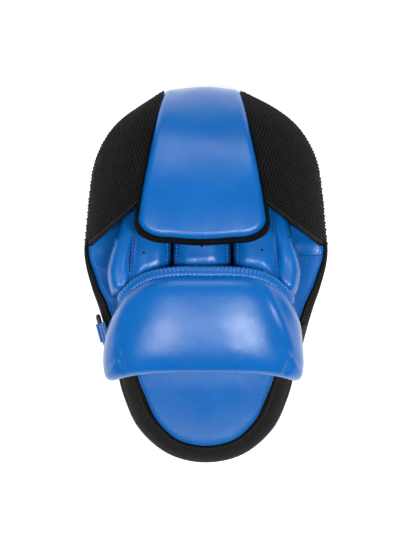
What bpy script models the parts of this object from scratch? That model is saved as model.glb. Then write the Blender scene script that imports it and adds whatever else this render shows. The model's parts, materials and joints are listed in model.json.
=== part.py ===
"""A curved focus mitt (hand pad) lying on its striking face.

Frame: +Z up, +Y towards the fingertips, +X to the right seen from the hand side.
The origin is under the middle of the mitt, on the surface that it lies on.
Lengths below are in millimetres; every point is turned into metres by MM.
"""

import math

import bpy
from mathutils import Matrix, Vector

MM = 0.001
GAP = 0.3  # clearance between neighbouring pieces
LAYER = 1.2  # clearance between broad curved layers, whose facets differ a little

# ---------------------------------------------------------------- driving dimensions
LENGTH = 300.0
HALF_LENGTH = LENGTH / 2
PAD_THICKNESS = 44.0
FACE_RISE = 24.0  # how far the cupped striking face stands off the table
FACE_SPAN = 112.0  # the face is flat on the table beyond this distance from the middle
BACK_DOME = 4.0
WALL_HEIGHT = 24.0  # leather side wall, below the mesh gusset
SKIN = 1.6
MESH = 2.2
GUSSET_LEANS = (
    (-148.0, 10.5), (-105.0, 13.0), (-70.0, 11.0), (-20.0, 4.0), (12.0, 3.0), (40.0, 12.0),
)
PATCH = 1.2  # the target's leather
CORD_RADIUS = 1.0
TARGET_RADIUS = 36.0
TARGET_DOT_RADIUS = 12.0
STRIKE_TOP = 14.0  # heights of the foam layers above the face
SHOCK_TOP = 22.0
FACE_MARGIN = 12.0  # the face's flat part ends this far inside the outline
EDGE_ROUND = ((3.4, 2.6), (0.0, 9.0))  # inset and rise of the points that round the face's edge
PERIMETER_POINTS = 44
RINGS = (0.16, 0.33, 0.5, 0.67, 0.84, 1.0)  # shares of the way from the middle to a loop

# Right half of the plan outline, fingertips first.
OUTLINE_HALF = (
    (0, 148), (37, 142), (67, 123.5), (84, 97), (90.5, 65), (93.5, 36), (94.5, 14),
    (89.5, -7), (82.5, -28), (71, -70), (64, -97), (52, -122), (29, -141.5), (0, -148),
)

# Hood: the padded flap over the fingers, with a mesh panel at each side.
FLAP_X = -3.0
FLAP_LIP_Y = 31.0
FLAP_REACH = 119.0
FLAP_BASE_Z = 27.0
FLAP_RISE = 83.0
FLAP_TURN = math.radians(84)  # how far the flap turns from level at the lip to upright
FLAP_TOP_HALF = 31.0
FLAP_LIP_HALF = 52.0
FLAP_CORNER = 14.0
FLAP_CROWN = 5.0
FLAP_FOAM = 6.0
FLAP_FOAM_END = 0.78  # share of the flap's run that is padded, from the lip
PIPING_RADIUS = 1.7
HEM_INNER_Y = 58.0
HEM_OUTER_Y = 25.0
MESH_TOP_Y = 137.0
MESH_CLEARANCE = 1.6  # between a mesh panel and the binding it is sewn to
MESH_RISE = 2.5  # the panels meet the pad this far above its side wall
HEM_RADIUS = 1.6
HEM_CLEARANCE = 0.9
HEM_START = 0.07  # shares of the edge between which the hem runs
HEM_END = 0.95

# Glove: sleeves for the thumb and the fingers, sewn to a lining.
LINING = 1.0
LINING_FROM_Y = -70.0
LINING_TO_Y = 112.0
LINING_WIDTHS = (
    (-70.0, 50.0), (-34.0, 58.0), (-12.0, 77.5), (20.0, 77.5), (60.0, 70.0), (112.0, 48.0),
)
SLEEVE_SKIN = 2.4
SLEEVES = (
    # name, centre x, half width, height, length
    ("thumb_sleeve", -70.6, 7.4, 18.0, 68.0),
    ("index_sleeve", -45.2, 16.4, 22.0, 86.0),
    ("middle_sleeve", -3.2, 22.8, 24.5, 92.0),
    ("ring_sleeve", 40.4, 18.0, 22.0, 86.0),
    ("little_sleeve", 67.6, 7.4, 18.0, 68.0),
)
SLEEVE_TAPER = 0.3  # share of its height that a sleeve loses towards the fingertip
SLEEVE_NARROWING = 0.18  # share of its width that it loses there
SLEEVE_GATHER = 0.06  # share of its distance from the middle that it loses there
SLEEVE_POWER = 0.75  # roundness of its arch: 1 is a half circle, less is squarer
SEAM_RADIUS = 2.3
SEAM_CLEARANCE = 2.2
SEAM_START = 0.05  # the cord starts and ends this share inside the cuff's arc
SEAM_SINK = 2.5  # the cord lies this far under the cuff's crown
GRIP_RADII = Vector((30.0, 19.0))
GRIP_HEIGHT = 12.0
GRIP_Y = -24.0

# Wrist cuff, hung from the knuckle seam.
KNUCKLE_Y = 6.0
KNUCKLE_DROP = 25.0  # the seam falls back by this much at its ends
CUFF_LOW_Y = -75.0
CUFF_LOW_DROP = 7.0
CUFF_EDGE_Z = 71.0
CUFF_POWER = 2.8
CUFF_FOAM = 9.0
GORE_Y = -51.0
GORE_WIDTH = 26.0
GORE_LOW_RISE = 15.0
GORE_TOP_X = 76.0
GORE_CLEARANCE = 3.6
CUFF_AXIS_Z = 95.0
CUFF_WIDTHS = ((0.0, 69.0), (0.35, 75.5), (0.78, 80.5), (1.0, 78.0))
CUFF_CROWNS = ((0.0, 97.0), (0.25, 110.0), (0.6, 117.0), (0.85, 115.0), (1.0, 109.0))

# Strap at the left side: keeper, ring and hook-and-loop tail.
STRAP_Y = -43.0
BAR_RADIUS = 1.7
BAR_PLAY = 0.5  # between the ring's bar and the strap folded round it
BAR_OFFSET = 4.4  # bar centre outside the pad's wall
RING_LENGTH = 30.0
RING_HEIGHT = 11.0
RING_CORNER = 2.6
RING_TOP_Z = 62.0
STRAP_WIDTH = 15.0
STRAP_PLY = 1.3
STRAP_TAIL = 22.0
KEEPER_ANGLE = math.radians(118)
KEEPER_TAIL = 4.5
TAPE = 1.1
TAPE_HEIGHT = 8.5
TAB_THICKNESS = 2.4
TAB_HEIGHT = 8.0

# ---------------------------------------------------------------- materials
MATERIALS = {
    "blue_leather": ((0.020, 0.150, 0.560), 0.42),
    "black_leather": ((0.020, 0.020, 0.022), 0.38),
    "black_mesh": ((0.022, 0.022, 0.024), 0.90),
    "black_webbing": ((0.018, 0.018, 0.020), 0.85),
    "black_plastic": ((0.015, 0.015, 0.016), 0.45),
    "black_lining": ((0.030, 0.030, 0.032), 0.95),
    "foam": ((0.350, 0.350, 0.360), 0.95),
    "board": ((0.120, 0.120, 0.130), 0.80),
    "white_leather": ((0.800, 0.800, 0.800), 0.45),
}


def material(name):
    """The named Principled material, made once."""
    made = bpy.data.materials.get(name)
    if made:
        return made
    colour, roughness = MATERIALS[name]
    made = bpy.data.materials.new(name)
    made.use_nodes = True
    shader = made.node_tree.nodes["Principled BSDF"]
    shader.inputs["Base Color"].default_value = (*colour, 1)
    shader.inputs["Roughness"].default_value = roughness
    shader.inputs["Metallic"].default_value = 0.0
    return made


# ---------------------------------------------------------------- curves
def catmull(p0, p1, p2, p3, t):
    """A point between p1 and p2 on the Catmull-Rom curve through the four."""
    return 0.5 * (
        2 * p1
        + (p2 - p0) * t
        + (2 * p0 - 5 * p1 + 4 * p2 - p3) * t**2
        + (3 * p1 - p0 - 3 * p2 + p3) * t**3
    )


def smooth_path(points, count, closed=False, fine=16):
    """count evenly spaced points on a smooth curve through the given ones."""
    given = [Vector(p) for p in points]
    last = len(given)
    spans = last if closed else last - 1

    def at(index):
        return given[index % last] if closed else given[min(max(index, 0), last - 1)]

    dense = [
        catmull(at(i - 1), at(i), at(i + 1), at(i + 2), step / fine)
        for i in range(spans)
        for step in range(fine)
    ]
    dense.append(at(spans))
    along = [0.0]
    for a, b in zip(dense, dense[1:]):
        along.append(along[-1] + (b - a).length)
    steps = count if closed else count - 1
    found = []
    reached = 0
    for k in range(count):
        target = along[-1] * k / steps
        while reached < len(dense) - 2 and along[reached + 1] < target:
            reached += 1
        share = (target - along[reached]) / (along[reached + 1] - along[reached])
        found.append(dense[reached].lerp(dense[reached + 1], share))
    return found


def level(table, at):
    """Smooth interpolation in a short table of (place, value)."""
    for (a, low), (b, high) in zip(table, table[1:]):
        if at <= b:
            t = min(max((at - a) / (b - a), 0), 1)
            return low + (high - low) * t * t * (3 - 2 * t)
    return table[-1][1]


def full_outline():
    """The closed plan outline, clockwise from the fingertip end."""
    left = [(-x, y) for x, y in OUTLINE_HALF[-2:0:-1]]
    return smooth_path(list(OUTLINE_HALF) + left, PERIMETER_POINTS, closed=True)


OUTLINE = full_outline()


def inward(index):
    """Unit vector into the pad at an outline point."""
    before = OUTLINE[index - 1]
    after = OUTLINE[(index + 1) % PERIMETER_POINTS]
    along = (after - before).normalized()
    return Vector((along.y, -along.x))


def inset_loop(inset):
    """The outline moved inwards by inset, a number or a function of y."""
    found = []
    for i, point in enumerate(OUTLINE):
        depth = inset(point.y) if callable(inset) else inset
        found.append(point + inward(i) * depth)
    return found


def gusset_inset(y):
    """How far in the mesh gusset leans: little at the hand, much at the heel and under the hood."""
    return level(GUSSET_LEANS, y)


def face_z(y):
    """Height of the cupped striking face."""
    share = min(abs(y) / FACE_SPAN, 1.0)
    return FACE_RISE * math.cos(share * math.pi / 2) ** 2


def face_field(_, y):
    """The striking face as a height field."""
    return face_z(y)


def back_z(x, y):
    """Height of the pad's back, under the hand."""
    share = min(abs(y) / HALF_LENGTH, 1.0)
    arch = FACE_RISE * math.cos(share * math.pi / 2) ** 2
    return PAD_THICKNESS + arch - BACK_DOME * (x / 90.0) ** 2


# ---------------------------------------------------------------- solids
def add_object(name, data, finish, hinge=None):
    """Links the data as a named object with its material, on its joint's empty if it moves."""
    made = bpy.data.objects.new(name, data)
    data.materials.append(material(finish))
    bpy.context.scene.collection.objects.link(made)
    if hinge:
        made.parent = hinge
    return made


def add_mesh(name, points, faces, finish, hinge=None):
    """A mesh object from points in millimetres, smooth apart from its sharp edges."""
    origin = Vector((0, 0, 0))
    if hinge:
        origin = hinge.location / MM
    mesh = bpy.data.meshes.new(name)
    mesh.from_pydata([(Vector(p) - origin) * MM for p in points], [], faces)
    mesh.validate()
    mesh.shade_smooth()
    mesh.set_sharp_from_angle(angle=math.radians(40))
    return add_object(name, mesh, finish, hinge)


def skin_of_loops(name, loops, finish):
    """A closed body through a stack of loops that starts and ends in a single point."""
    points = []
    starts = []
    for loop in loops:
        starts.append(len(points))
        points.extend(loop)
    count = len(loops[1])
    faces = []
    for below, above, a, b in zip(loops, loops[1:], starts, starts[1:]):
        for i in range(count):
            j = (i + 1) % count
            if len(below) == 1:
                faces.append((a, b + i, b + j))
            elif len(above) == 1:
                faces.append((a + j, a + i, b))
            else:
                faces.append((a + j, a + i, b + i, b + j))
    return add_mesh(name, points, faces, finish)


def spread(loop, height, shares):
    """Copies of a plan loop drawn in towards the middle, each lifted onto a height field."""
    return [[(p.x * s, p.y * s, height(p.x * s, p.y * s)) for p in loop] for s in shares]


def middle(height):
    """The single point that closes a spread."""
    return [(0.0, 0.0, height(0.0, 0.0))]


def above(height, rise):
    """The height field that runs a fixed distance above another."""
    return lambda x, y: height(x, y) + rise


def layer(name, low_edge, under, high_edge, over, finish):
    """A broad closed layer between two height fields, each with its own edge in plan."""
    loops = [middle(under)] + spread(low_edge, under, RINGS)
    loops += spread(high_edge, over, RINGS[::-1]) + [middle(over)]
    skin_of_loops(name, loops, finish)


def band_of_loops(name, loops, finish):
    """A closed band: clockwise loops, up its outer side and down its inner one."""
    count = len(loops[0])
    faces = []
    for k in range(len(loops)):
        a = k * count
        b = (k + 1) % len(loops) * count
        for i in range(count):
            j = (i + 1) % count
            faces.append((a + j, a + i, b + i, b + j))
    add_mesh(name, [p for loop in loops for p in loop], faces, finish)


def circle(radius, height, sides=32):
    """A clockwise circle about the middle, on a height field."""
    turns = [-2 * math.pi * k / sides for k in range(sides)]
    ring = [(radius * math.cos(a), radius * math.sin(a)) for a in turns]
    return [(x, y, height(x, y)) for x, y in ring]


def slab(name, surface, across, along, top, bottom, finish, hinge=None):
    """A curved sheet: the part of surface(u, v) between two distances along its normal."""
    points = []
    step = 1e-3
    for depth in (top, bottom):
        for j in range(along + 1):
            for i in range(across + 1):
                u = i / across
                v = j / along
                u0 = min(u, 1 - step)
                v0 = min(v, 1 - step)
                here = Vector(surface(u0, v0))
                du = Vector(surface(u0 + step, v0)) - here
                dv = Vector(surface(u0, v0 + step)) - here
                normal = dv.cross(du).normalized()
                points.append(Vector(surface(u, v)) + normal * depth)
    row = across + 1
    below = row * (along + 1)
    faces = []
    for j in range(along):
        for i in range(across):
            a = j * row + i
            faces.append((a, a + row, a + row + 1, a + 1))
            faces.append((below + a, below + a + 1, below + a + row + 1, below + a + row))
    for i in range(across):
        low = along * row + i
        faces.append((i, i + 1, below + i + 1, below + i))
        faces.append((low + 1, low, below + low, below + low + 1))
    for j in range(along):
        left = j * row
        right = left + across
        faces.append((left + row, left, below + left, below + left + row))
        faces.append((right, right + row, below + right + row, below + right))
    return add_mesh(name, points, faces, finish, hinge)


def tube(name, path, radius, finish, cyclic=False, hinge=None):
    """A round cord along a path."""
    origin = hinge.location / MM if hinge else Vector((0, 0, 0))
    curve = bpy.data.curves.new(name, "CURVE")
    curve.dimensions = "3D"
    curve.bevel_depth = radius * MM
    curve.bevel_resolution = 1
    curve.use_fill_caps = not cyclic
    spline = curve.splines.new("POLY")
    spline.points.add(len(path) - 1)
    for point, place in zip(spline.points, path):
        point.co = (*((Vector(place) - origin) * MM), 1)
    spline.use_cyclic_u = cyclic
    return add_object(name, curve, finish, hinge)


def joint_empty(name, place, parent=None):
    """An empty on a joint's axis, for the pieces that turn about it."""
    made = bpy.data.objects.new(name, None)
    made.location = Vector(place) * MM
    if parent:
        made.parent = parent
        made.matrix_parent_inverse = Matrix.Translation(parent.location).inverted()
    bpy.context.scene.collection.objects.link(made)
    return made


# ---------------------------------------------------------------- the pad
def make_front_cover():
    """The leather dish that is struck: face, rounded edge and side wall."""
    def edge(inset, rise):
        return [(p.x, p.y, face_z(p.y) + rise) for p in inset_loop(inset)]

    inner = above(face_field, SKIN)
    outside = [middle(face_field)] + spread(inset_loop(FACE_MARGIN), face_field, RINGS)
    outside += [edge(inset, rise) for inset, rise in EDGE_ROUND]
    outside += [edge(0, WALL_HEIGHT)]
    inside = [edge(SKIN, WALL_HEIGHT)]
    inside += [edge(inset + SKIN, rise + SKIN / 2) for inset, rise in EDGE_ROUND[::-1]]
    inside += spread(inset_loop(FACE_MARGIN + SKIN / 2), inner, RINGS[::-1]) + [middle(inner)]
    skin_of_loops("front_cover", outside + inside, "black_leather")


def make_foam_layers():
    """Soft striking foam, firmer shock foam and the board behind the hand."""
    clear = inset_loop(SKIN + GAP)
    strike_low = above(face_field, SKIN + LAYER)
    strike_high = above(face_field, STRIKE_TOP)
    shock_low = above(face_field, STRIKE_TOP + LAYER)
    shock_high = above(face_field, SHOCK_TOP)
    board_low = above(face_field, SHOCK_TOP + LAYER)
    board_high = above(back_z, -LAYER)
    board_edge = inset_loop(lambda y: gusset_inset(y) + MESH + LAYER)
    face_edge = inset_loop(FACE_MARGIN + LAYER)
    layer("strike_foam", face_edge, strike_low, clear, strike_high, "foam")
    layer("shock_foam", clear, shock_low, clear, shock_high, "foam")
    layer("backing_board", inset_loop(MESH + LAYER), board_low, board_edge, board_high, "board")


def make_gusset():
    """The mesh band round the edge, from the wall's rim in to the back panel."""
    def loop(share, depth):
        found = []
        for i, p in enumerate(OUTLINE):
            place = p + inward(i) * (gusset_inset(p.y) * share**1.5 + depth)
            low = face_z(p.y) + WALL_HEIGHT + GAP
            high = back_z(p.x, p.y) + SKIN
            found.append((place.x, place.y, low + (high - low) * share))
        return found

    shares = (0.0, 0.4, 0.75, 1.0)
    outer = [loop(share, 0) for share in shares]
    inner = [loop(share, MESH) for share in shares[::-1]]
    band_of_loops("gusset_band", outer + inner, "black_mesh")


def make_back_panel():
    """The blue leather back, with a thin cord round its seam."""
    edge = inset_loop(lambda y: gusset_inset(y) + MESH + GAP)
    layer("back_panel", edge, back_z, edge, above(back_z, SKIN), "blue_leather")
    seam = inset_loop(lambda y: gusset_inset(y) + MESH / 2)
    rise = SKIN + CORD_RADIUS + 2 * GAP
    path = [(p.x, p.y, back_z(p.x, p.y) + rise) for p in seam]
    tube("back_piping", path, CORD_RADIUS, "black_leather", cyclic=True)


def make_front_piping():
    """The cord over the seam between the side wall and the gusset."""
    seam = inset_loop(-CORD_RADIUS - GAP)
    path = [(p.x, p.y, face_z(p.y) + WALL_HEIGHT) for p in seam]
    tube("wall_piping", path, CORD_RADIUS, "black_leather", cyclic=True)


def make_target():
    """The round target sewn to the striking face, a disc inside a ring."""
    high = above(face_field, -LAYER)
    low = above(face_field, -LAYER - PATCH)
    inner = TARGET_DOT_RADIUS + 2 * GAP
    ring = [circle(TARGET_RADIUS, low), circle(TARGET_RADIUS, high)]
    ring += [circle(inner, high), circle(inner, low)]
    band_of_loops("target_ring", ring, "blue_leather")
    dot = [circle(TARGET_DOT_RADIUS, low), circle(TARGET_DOT_RADIUS, high)]
    skin_of_loops("target_dot", [middle(low)] + dot + [middle(high)], "white_leather")


# ---------------------------------------------------------------- the hood
def flap_half_width(y):
    """Half the flap's width: widest at the lip, with rounded corners there."""
    share = min(max((y - FLAP_LIP_Y) / (HALF_LENGTH - FLAP_LIP_Y), 0), 1)
    wide = FLAP_LIP_HALF + (FLAP_TOP_HALF - FLAP_LIP_HALF) * share**1.25
    into = FLAP_CORNER - (y - FLAP_LIP_Y)
    if into > 0:
        wide -= FLAP_CORNER - math.sqrt(FLAP_CORNER**2 - into**2)
    return wide


def flap_surface(u, v):
    """The flap's outer face, from the lip (v 0) over to the fingertip seam (v 1)."""
    angle = FLAP_TURN * (v**1.3 * 0.75 + v * 0.25)
    y = FLAP_LIP_Y + FLAP_REACH * math.sin(angle)
    half = flap_half_width(y)
    x = half * (1 - 2 * u)
    crown = FLAP_CROWN * (x / FLAP_LIP_HALF) ** 2 * math.cos(angle)
    return (FLAP_X + x, y, FLAP_BASE_Z + FLAP_RISE * math.cos(angle) - crown)


def make_flap():
    """Leather cover, foam and lining, bound along both sides and the lip."""
    def padded(u, v):
        return flap_surface(u, v * FLAP_FOAM_END)

    foam_top = -SKIN - GAP
    foam_low = foam_top - FLAP_FOAM
    slab("flap_cover", flap_surface, 8, 18, 0, -SKIN, "blue_leather")
    slab("flap_foam", padded, 8, 14, foam_top, foam_low, "foam")
    slab("flap_lining", padded, 8, 14, foam_low - GAP, foam_low - GAP - LINING, "black_lining")
    edge = [flap_surface(0, v / 18) for v in range(18, -1, -1)]
    edge += [flap_surface(u / 6, 0) for u in range(1, 6)]
    edge += [flap_surface(1, v / 18) for v in range(0, 19)]
    edge = [Vector(p) for p in edge]
    centre = Vector((0, FLAP_LIP_Y, FLAP_BASE_Z))
    path = []
    for before, here, after in zip(edge, edge[1:], edge[2:]):
        along = (after - before).normalized()
        up = Vector((0, here.y - centre.y, here.z - centre.z)).normalized()
        out = up.cross(along).normalized()
        path.append(here + out * (PIPING_RADIUS + 2 * GAP) + up * foam_low / 2)
    tube("flap_binding", path, PIPING_RADIUS, "black_webbing")


def rim_point(y, side, loop=OUTLINE):
    """The point of a plan loop that is level with y on one side."""
    same = [p for p in loop if p.x * side >= 0]
    same.sort(key=lambda p: p.y)
    for a, b in zip(same, same[1:]):
        if a.y <= y <= b.y:
            return a.lerp(b, (y - a.y) / (b.y - a.y))
    return same[-1]


def mesh_surface(side):
    """surface(u, v) of a mesh panel: u from the flap to the rim, v from the hem upwards."""
    seam = inset_loop(-MESH - 2 * GAP)

    def surface(u, v):
        edge_y = HEM_INNER_Y + (MESH_TOP_Y - HEM_INNER_Y) * v
        rim_y = HEM_OUTER_Y + (MESH_TOP_Y - HEM_OUTER_Y) * v
        inner_x = FLAP_X + side * (flap_half_width(edge_y) + 2 * PIPING_RADIUS + MESH_CLEARANCE)
        angle = math.asin((edge_y - FLAP_LIP_Y) / FLAP_REACH)
        inner_z = FLAP_BASE_Z + FLAP_RISE * math.cos(angle) - FLAP_CROWN
        rim = rim_point(rim_y, side, seam)
        outer_z = face_z(rim_y) + WALL_HEIGHT + MESH_RISE
        bulge = (1 - u**1.7) ** 0.75
        x = inner_x + (rim.x - inner_x) * u
        y = edge_y + (rim_y - edge_y) * u
        return (x, y, outer_z + (inner_z - outer_z) * bulge)

    return surface


def make_mesh_panels():
    """The breathable sides of the hood, each with a rolled hem at its open edge."""
    for word, side in (("left", -1), ("right", 1)):
        surface = mesh_surface(side)

        def placed(u, v, surface=surface, side=side):
            return surface(u, v) if side < 0 else surface(1 - u, v)

        slab(f"mesh_panel_{word}", placed, 8, 12, 0, -MESH, "black_mesh")
        path = []
        for k in range(13):
            x, y, z = surface(HEM_START + (HEM_END - HEM_START) * k / 12, 0.0)
            path.append((x - side * HEM_CLEARANCE, y - HEM_RADIUS - HEM_CLEARANCE, z - MESH / 2))
        tube(f"mesh_hem_{word}", path, HEM_RADIUS, "black_webbing")


# ---------------------------------------------------------------- the glove
def floor_z(x, y):
    """The top of the glove's lining."""
    return back_z(x, y) + SKIN + LAYER + LINING


def knuckle_y(x):
    """The knuckle seam in plan: an arch that falls back at both ends."""
    return KNUCKLE_Y - KNUCKLE_DROP * (x / CUFF_WIDTHS[0][1]) ** 4


def make_lining_and_grip():
    """The lining that the sleeves are sewn to, and the grip bulge under the palm."""
    def surface(u, v):
        y = LINING_FROM_Y + (LINING_TO_Y - LINING_FROM_Y) * v
        x = level(LINING_WIDTHS, y) * (1 - 2 * u)
        return (x, y, floor_z(x, y))

    slab("glove_lining", surface, 10, 12, 0, -LINING, "black_lining")
    sides = 24

    def ring(share, rise):
        found = []
        for k in range(sides):
            angle = -2 * math.pi * k / sides
            x = GRIP_RADII.x * share * math.cos(angle)
            y = GRIP_Y + GRIP_RADII.y * share * math.sin(angle)
            found.append((x, y, floor_z(x, y) + GAP + rise))
        return found

    foot = floor_z(0, GRIP_Y) + GAP
    loops = [[(0.0, GRIP_Y, foot)], ring(1.0, 0.0)]
    loops += [ring(math.cos(a), GRIP_HEIGHT * math.sin(a)) for a in (0.35, 0.75, 1.15)]
    loops.append([(0.0, GRIP_Y, foot + GRIP_HEIGHT)])
    skin_of_loops("palm_grip", loops, "black_leather")


def sleeve_surface(centre, half, height, length):
    """surface(u, v) of an arched sleeve: u from its right foot over to its left, v to the tip."""
    def surface(u, v):
        angle = math.pi * (u - 0.5)
        side = math.copysign(abs(math.sin(angle)) ** SLEEVE_POWER, -math.sin(angle))
        rise = max(math.cos(angle), 0) ** SLEEVE_POWER
        start = knuckle_y(centre + half * side) + 2 * SEAM_RADIUS + SEAM_CLEARANCE
        x = centre * (1 - SLEEVE_GATHER * v) + half * side * (1 - SLEEVE_NARROWING * v)
        y = start + length * v
        foot = floor_z(x, y) + LAYER
        return (x, y, foot + height * (1 - SLEEVE_TAPER * v**2) * rise)

    return surface


def make_sleeves():
    """The thumb sleeve and the four finger sleeves."""
    for name, centre, half, height, length in SLEEVES:
        surface = sleeve_surface(centre, half, height, length)
        slab(name, surface, 12, 6, 0, -SLEEVE_SKIN, "blue_leather")


def make_knuckle_seam():
    """The corded seam that joins the sleeves to the cuff."""
    path = []
    for k in range(23):
        x, y, z = cuff_surface(SEAM_START + (1 - 2 * SEAM_START) * k / 22, 0.0)
        path.append((x, y + SEAM_RADIUS + 2 * GAP, z - SEAM_SINK))
    tube("knuckle_seam", path, SEAM_RADIUS, "blue_leather")


# ---------------------------------------------------------------- the cuff
def cuff_surface(u, v):
    """The cuff's outer face: u from its left edge to its right, v from seam to wrist."""
    angle = math.pi * (u - 0.5)
    power = 2 / CUFF_POWER
    side = math.copysign(abs(math.sin(angle)) ** power, math.sin(angle))
    rise = max(math.cos(angle), 0) ** power
    half = level(CUFF_WIDTHS, v)
    crown = level(CUFF_CROWNS, v)
    top_y = knuckle_y(side * CUFF_WIDTHS[0][1])
    low_y = CUFF_LOW_Y - CUFF_LOW_DROP * side**4
    return (half * side, top_y + (low_y - top_y) * v, CUFF_EDGE_Z + (crown - CUFF_EDGE_Z) * rise)


def make_cuff(hinge):
    """The padded wrist cuff: cover, foam and lining."""
    foam_top = -SKIN - GAP
    foam_low = foam_top - CUFF_FOAM
    lining_top = foam_low - GAP
    slab("cuff_cover", cuff_surface, 20, 9, 0, -SKIN, "blue_leather", hinge)
    slab("cuff_foam", cuff_surface, 20, 9, foam_top, foam_low, "foam", hinge)
    slab("cuff_lining", cuff_surface, 20, 9, lining_top, lining_top - LINING, "black_lining", hinge)


def make_side_gore():
    """The elastic that ties the cuff's right edge to the pad's wall."""
    def surface(u, v):
        y = GORE_Y - GORE_WIDTH * (0.5 - u)
        low_x = rim_point(y, 1).x + GORE_CLEARANCE
        low_z = face_z(y) + GORE_LOW_RISE
        x = low_x + (GORE_TOP_X - low_x) * v**2
        return (x, y, low_z + (CUFF_EDGE_Z - LAYER - low_z) * v)

    slab("side_gore", surface, 4, 5, 0, -SKIN, "black_webbing")


# ---------------------------------------------------------------- the strap
def strap_frame():
    """Bar centre in plan and the heading of the left wall at the strap."""
    near = rim_point(STRAP_Y, -1)
    heading = (rim_point(STRAP_Y + 8, -1) - rim_point(STRAP_Y - 8, -1)).normalized()
    out = Vector((-heading.y, heading.x))
    return near, heading, out


def local_profile(name, profile, place, width, finish, hinge=None):
    """An anticlockwise profile in (out, up) about a place, extruded along the wall."""
    _, heading, out = strap_frame()
    points = []
    for shift in (-width / 2, width / 2):
        for a, b in profile:
            points.append((
                place[0] + out.x * a + heading.x * shift,
                place[1] + out.y * a + heading.y * shift,
                place[2] + b,
            ))
    count = len(profile)
    faces = [tuple(range(count - 1, -1, -1)), tuple(range(count, 2 * count))]
    for i in range(count):
        j = (i + 1) % count
        faces.append((i, j, count + j, count + i))
    return add_mesh(name, points, faces, finish, hinge)


def strap_outline(tail_angle, tail_length):
    """Outline of a folded strap: round its eye, then out along both plies of its tail."""
    outer = BAR_RADIUS + BAR_PLAY + STRAP_PLY
    start = math.asin(STRAP_PLY / outer)
    rounds = 14
    around = [start + (2 * math.pi - 2 * start) * k / rounds for k in range(rounds + 1)]
    profile = [(outer * math.cos(a), outer * math.sin(a)) for a in around]
    end = outer + tail_length
    profile += [(end, -STRAP_PLY), (end, STRAP_PLY)]
    turn = Matrix.Rotation(tail_angle, 2)
    return [tuple(turn @ Vector(p)) for p in profile]


def folded_strap(name, place, tail_angle, tail_length, finish, hinge):
    """A strap folded round the bar at a place, with an eye that clears the bar."""
    made = local_profile(name, strap_outline(tail_angle, tail_length), place, STRAP_WIDTH,
                         finish, hinge)
    sides = 12
    radius = BAR_RADIUS + BAR_PLAY
    turns = [2 * math.pi * k / sides for k in range(sides)]
    eye = [(radius * math.cos(a), radius * math.sin(a)) for a in turns]
    cutter = local_profile(name + "_eye", eye, place, STRAP_WIDTH + 4, "black_plastic", hinge)
    cutter.hide_render = True
    cutter.display_type = "WIRE"
    cut = made.modifiers.new("eye", "BOOLEAN")
    cut.operation = "DIFFERENCE"
    cut.object = cutter


def ring_path(bar, heading):
    """The ring's centre line: a rounded rectangle hanging below its upper bar."""
    straight = RING_LENGTH / 2 - BAR_RADIUS - RING_CORNER
    level_run = RING_HEIGHT / 2 - RING_CORNER
    path = []
    for quarter in range(4):
        centre_along = straight if quarter in (0, 3) else -straight
        centre_up = level_run if quarter in (0, 1) else -level_run
        for k in range(4):
            turn = math.radians(90 * quarter + 30 * k)
            along = centre_along + RING_CORNER * math.cos(turn)
            up = centre_up + RING_CORNER * math.sin(turn) - RING_HEIGHT / 2
            path.append((bar.x + heading.x * along, bar.y + heading.y * along, bar.z + up))
    return path


def make_strap(cuff_hinge):
    """Keeper on the cuff, ring in the keeper, strap in the ring, and the strap's fastening."""
    near, heading, out = strap_frame()
    plan = near + out * BAR_OFFSET
    bar = Vector((plan.x, plan.y, RING_TOP_Z))
    low_bar = Vector((plan.x, plan.y, RING_TOP_Z - RING_HEIGHT))
    ring_hinge = joint_empty("ring_axis", bar, cuff_hinge)
    strap_hinge = joint_empty("strap_axis", low_bar, ring_hinge)
    folded_strap("ring_keeper", bar, KEEPER_ANGLE, KEEPER_TAIL, "blue_leather", cuff_hinge)
    tube("strap_ring", ring_path(bar, heading), BAR_RADIUS, "black_plastic", True, ring_hinge)
    folded_strap("closing_strap", low_bar, -math.pi / 2, STRAP_TAIL, "blue_leather", strap_hinge)

    tail_end = -(BAR_RADIUS + BAR_PLAY + STRAP_PLY + STRAP_TAIL)
    ply = -(STRAP_PLY + GAP)

    def plate(name, outer, top, thickness, height, narrower, finish, hinge):
        """A flat piece beside the strap, given by its outer face and its top."""
        inner = outer - thickness
        low = top - height
        profile = [(outer, top), (inner, top), (inner, low), (outer, low)]
        local_profile(name, profile, low_bar, STRAP_WIDTH - narrower, finish, hinge)

    tape_top = tail_end + TAPE_HEIGHT
    patch_face = ply - TAPE - GAP
    tab_top = tail_end - GAP
    plate("hook_tape", ply, tape_top, TAPE, TAPE_HEIGHT, 2, "black_webbing", strap_hinge)
    plate("loop_patch", patch_face, tape_top, TAPE, TAPE_HEIGHT, 0, "black_webbing", None)
    plate("pull_tab", TAB_THICKNESS / 2, tab_top, TAB_THICKNESS, TAB_HEIGHT, 6, "black_webbing",
          strap_hinge)


# ---------------------------------------------------------------- assembly
def clear_scene():
    """Empties the scene of whatever it opened with."""
    for existing in list(bpy.data.objects):
        bpy.data.objects.remove(existing)


def build():
    """Makes every piece of the mitt."""
    clear_scene()
    make_front_cover()
    make_target()
    make_foam_layers()
    make_gusset()
    make_front_piping()
    make_back_panel()
    make_lining_and_grip()
    make_sleeves()
    make_knuckle_seam()
    make_flap()
    make_mesh_panels()
    cuff_hinge = joint_empty("cuff_axis", (0, KNUCKLE_Y, CUFF_AXIS_Z))
    make_cuff(cuff_hinge)
    make_side_gore()
    make_strap(cuff_hinge)


build()
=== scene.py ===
"""Looks of a curved focus mitt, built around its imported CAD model.

Frame: metres, +Z up, +Y towards the fingertips, +X to the right seen from the hand side.
Shapes are worked out in millimetres and turned into metres by MM.
"""

import json
import math

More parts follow.
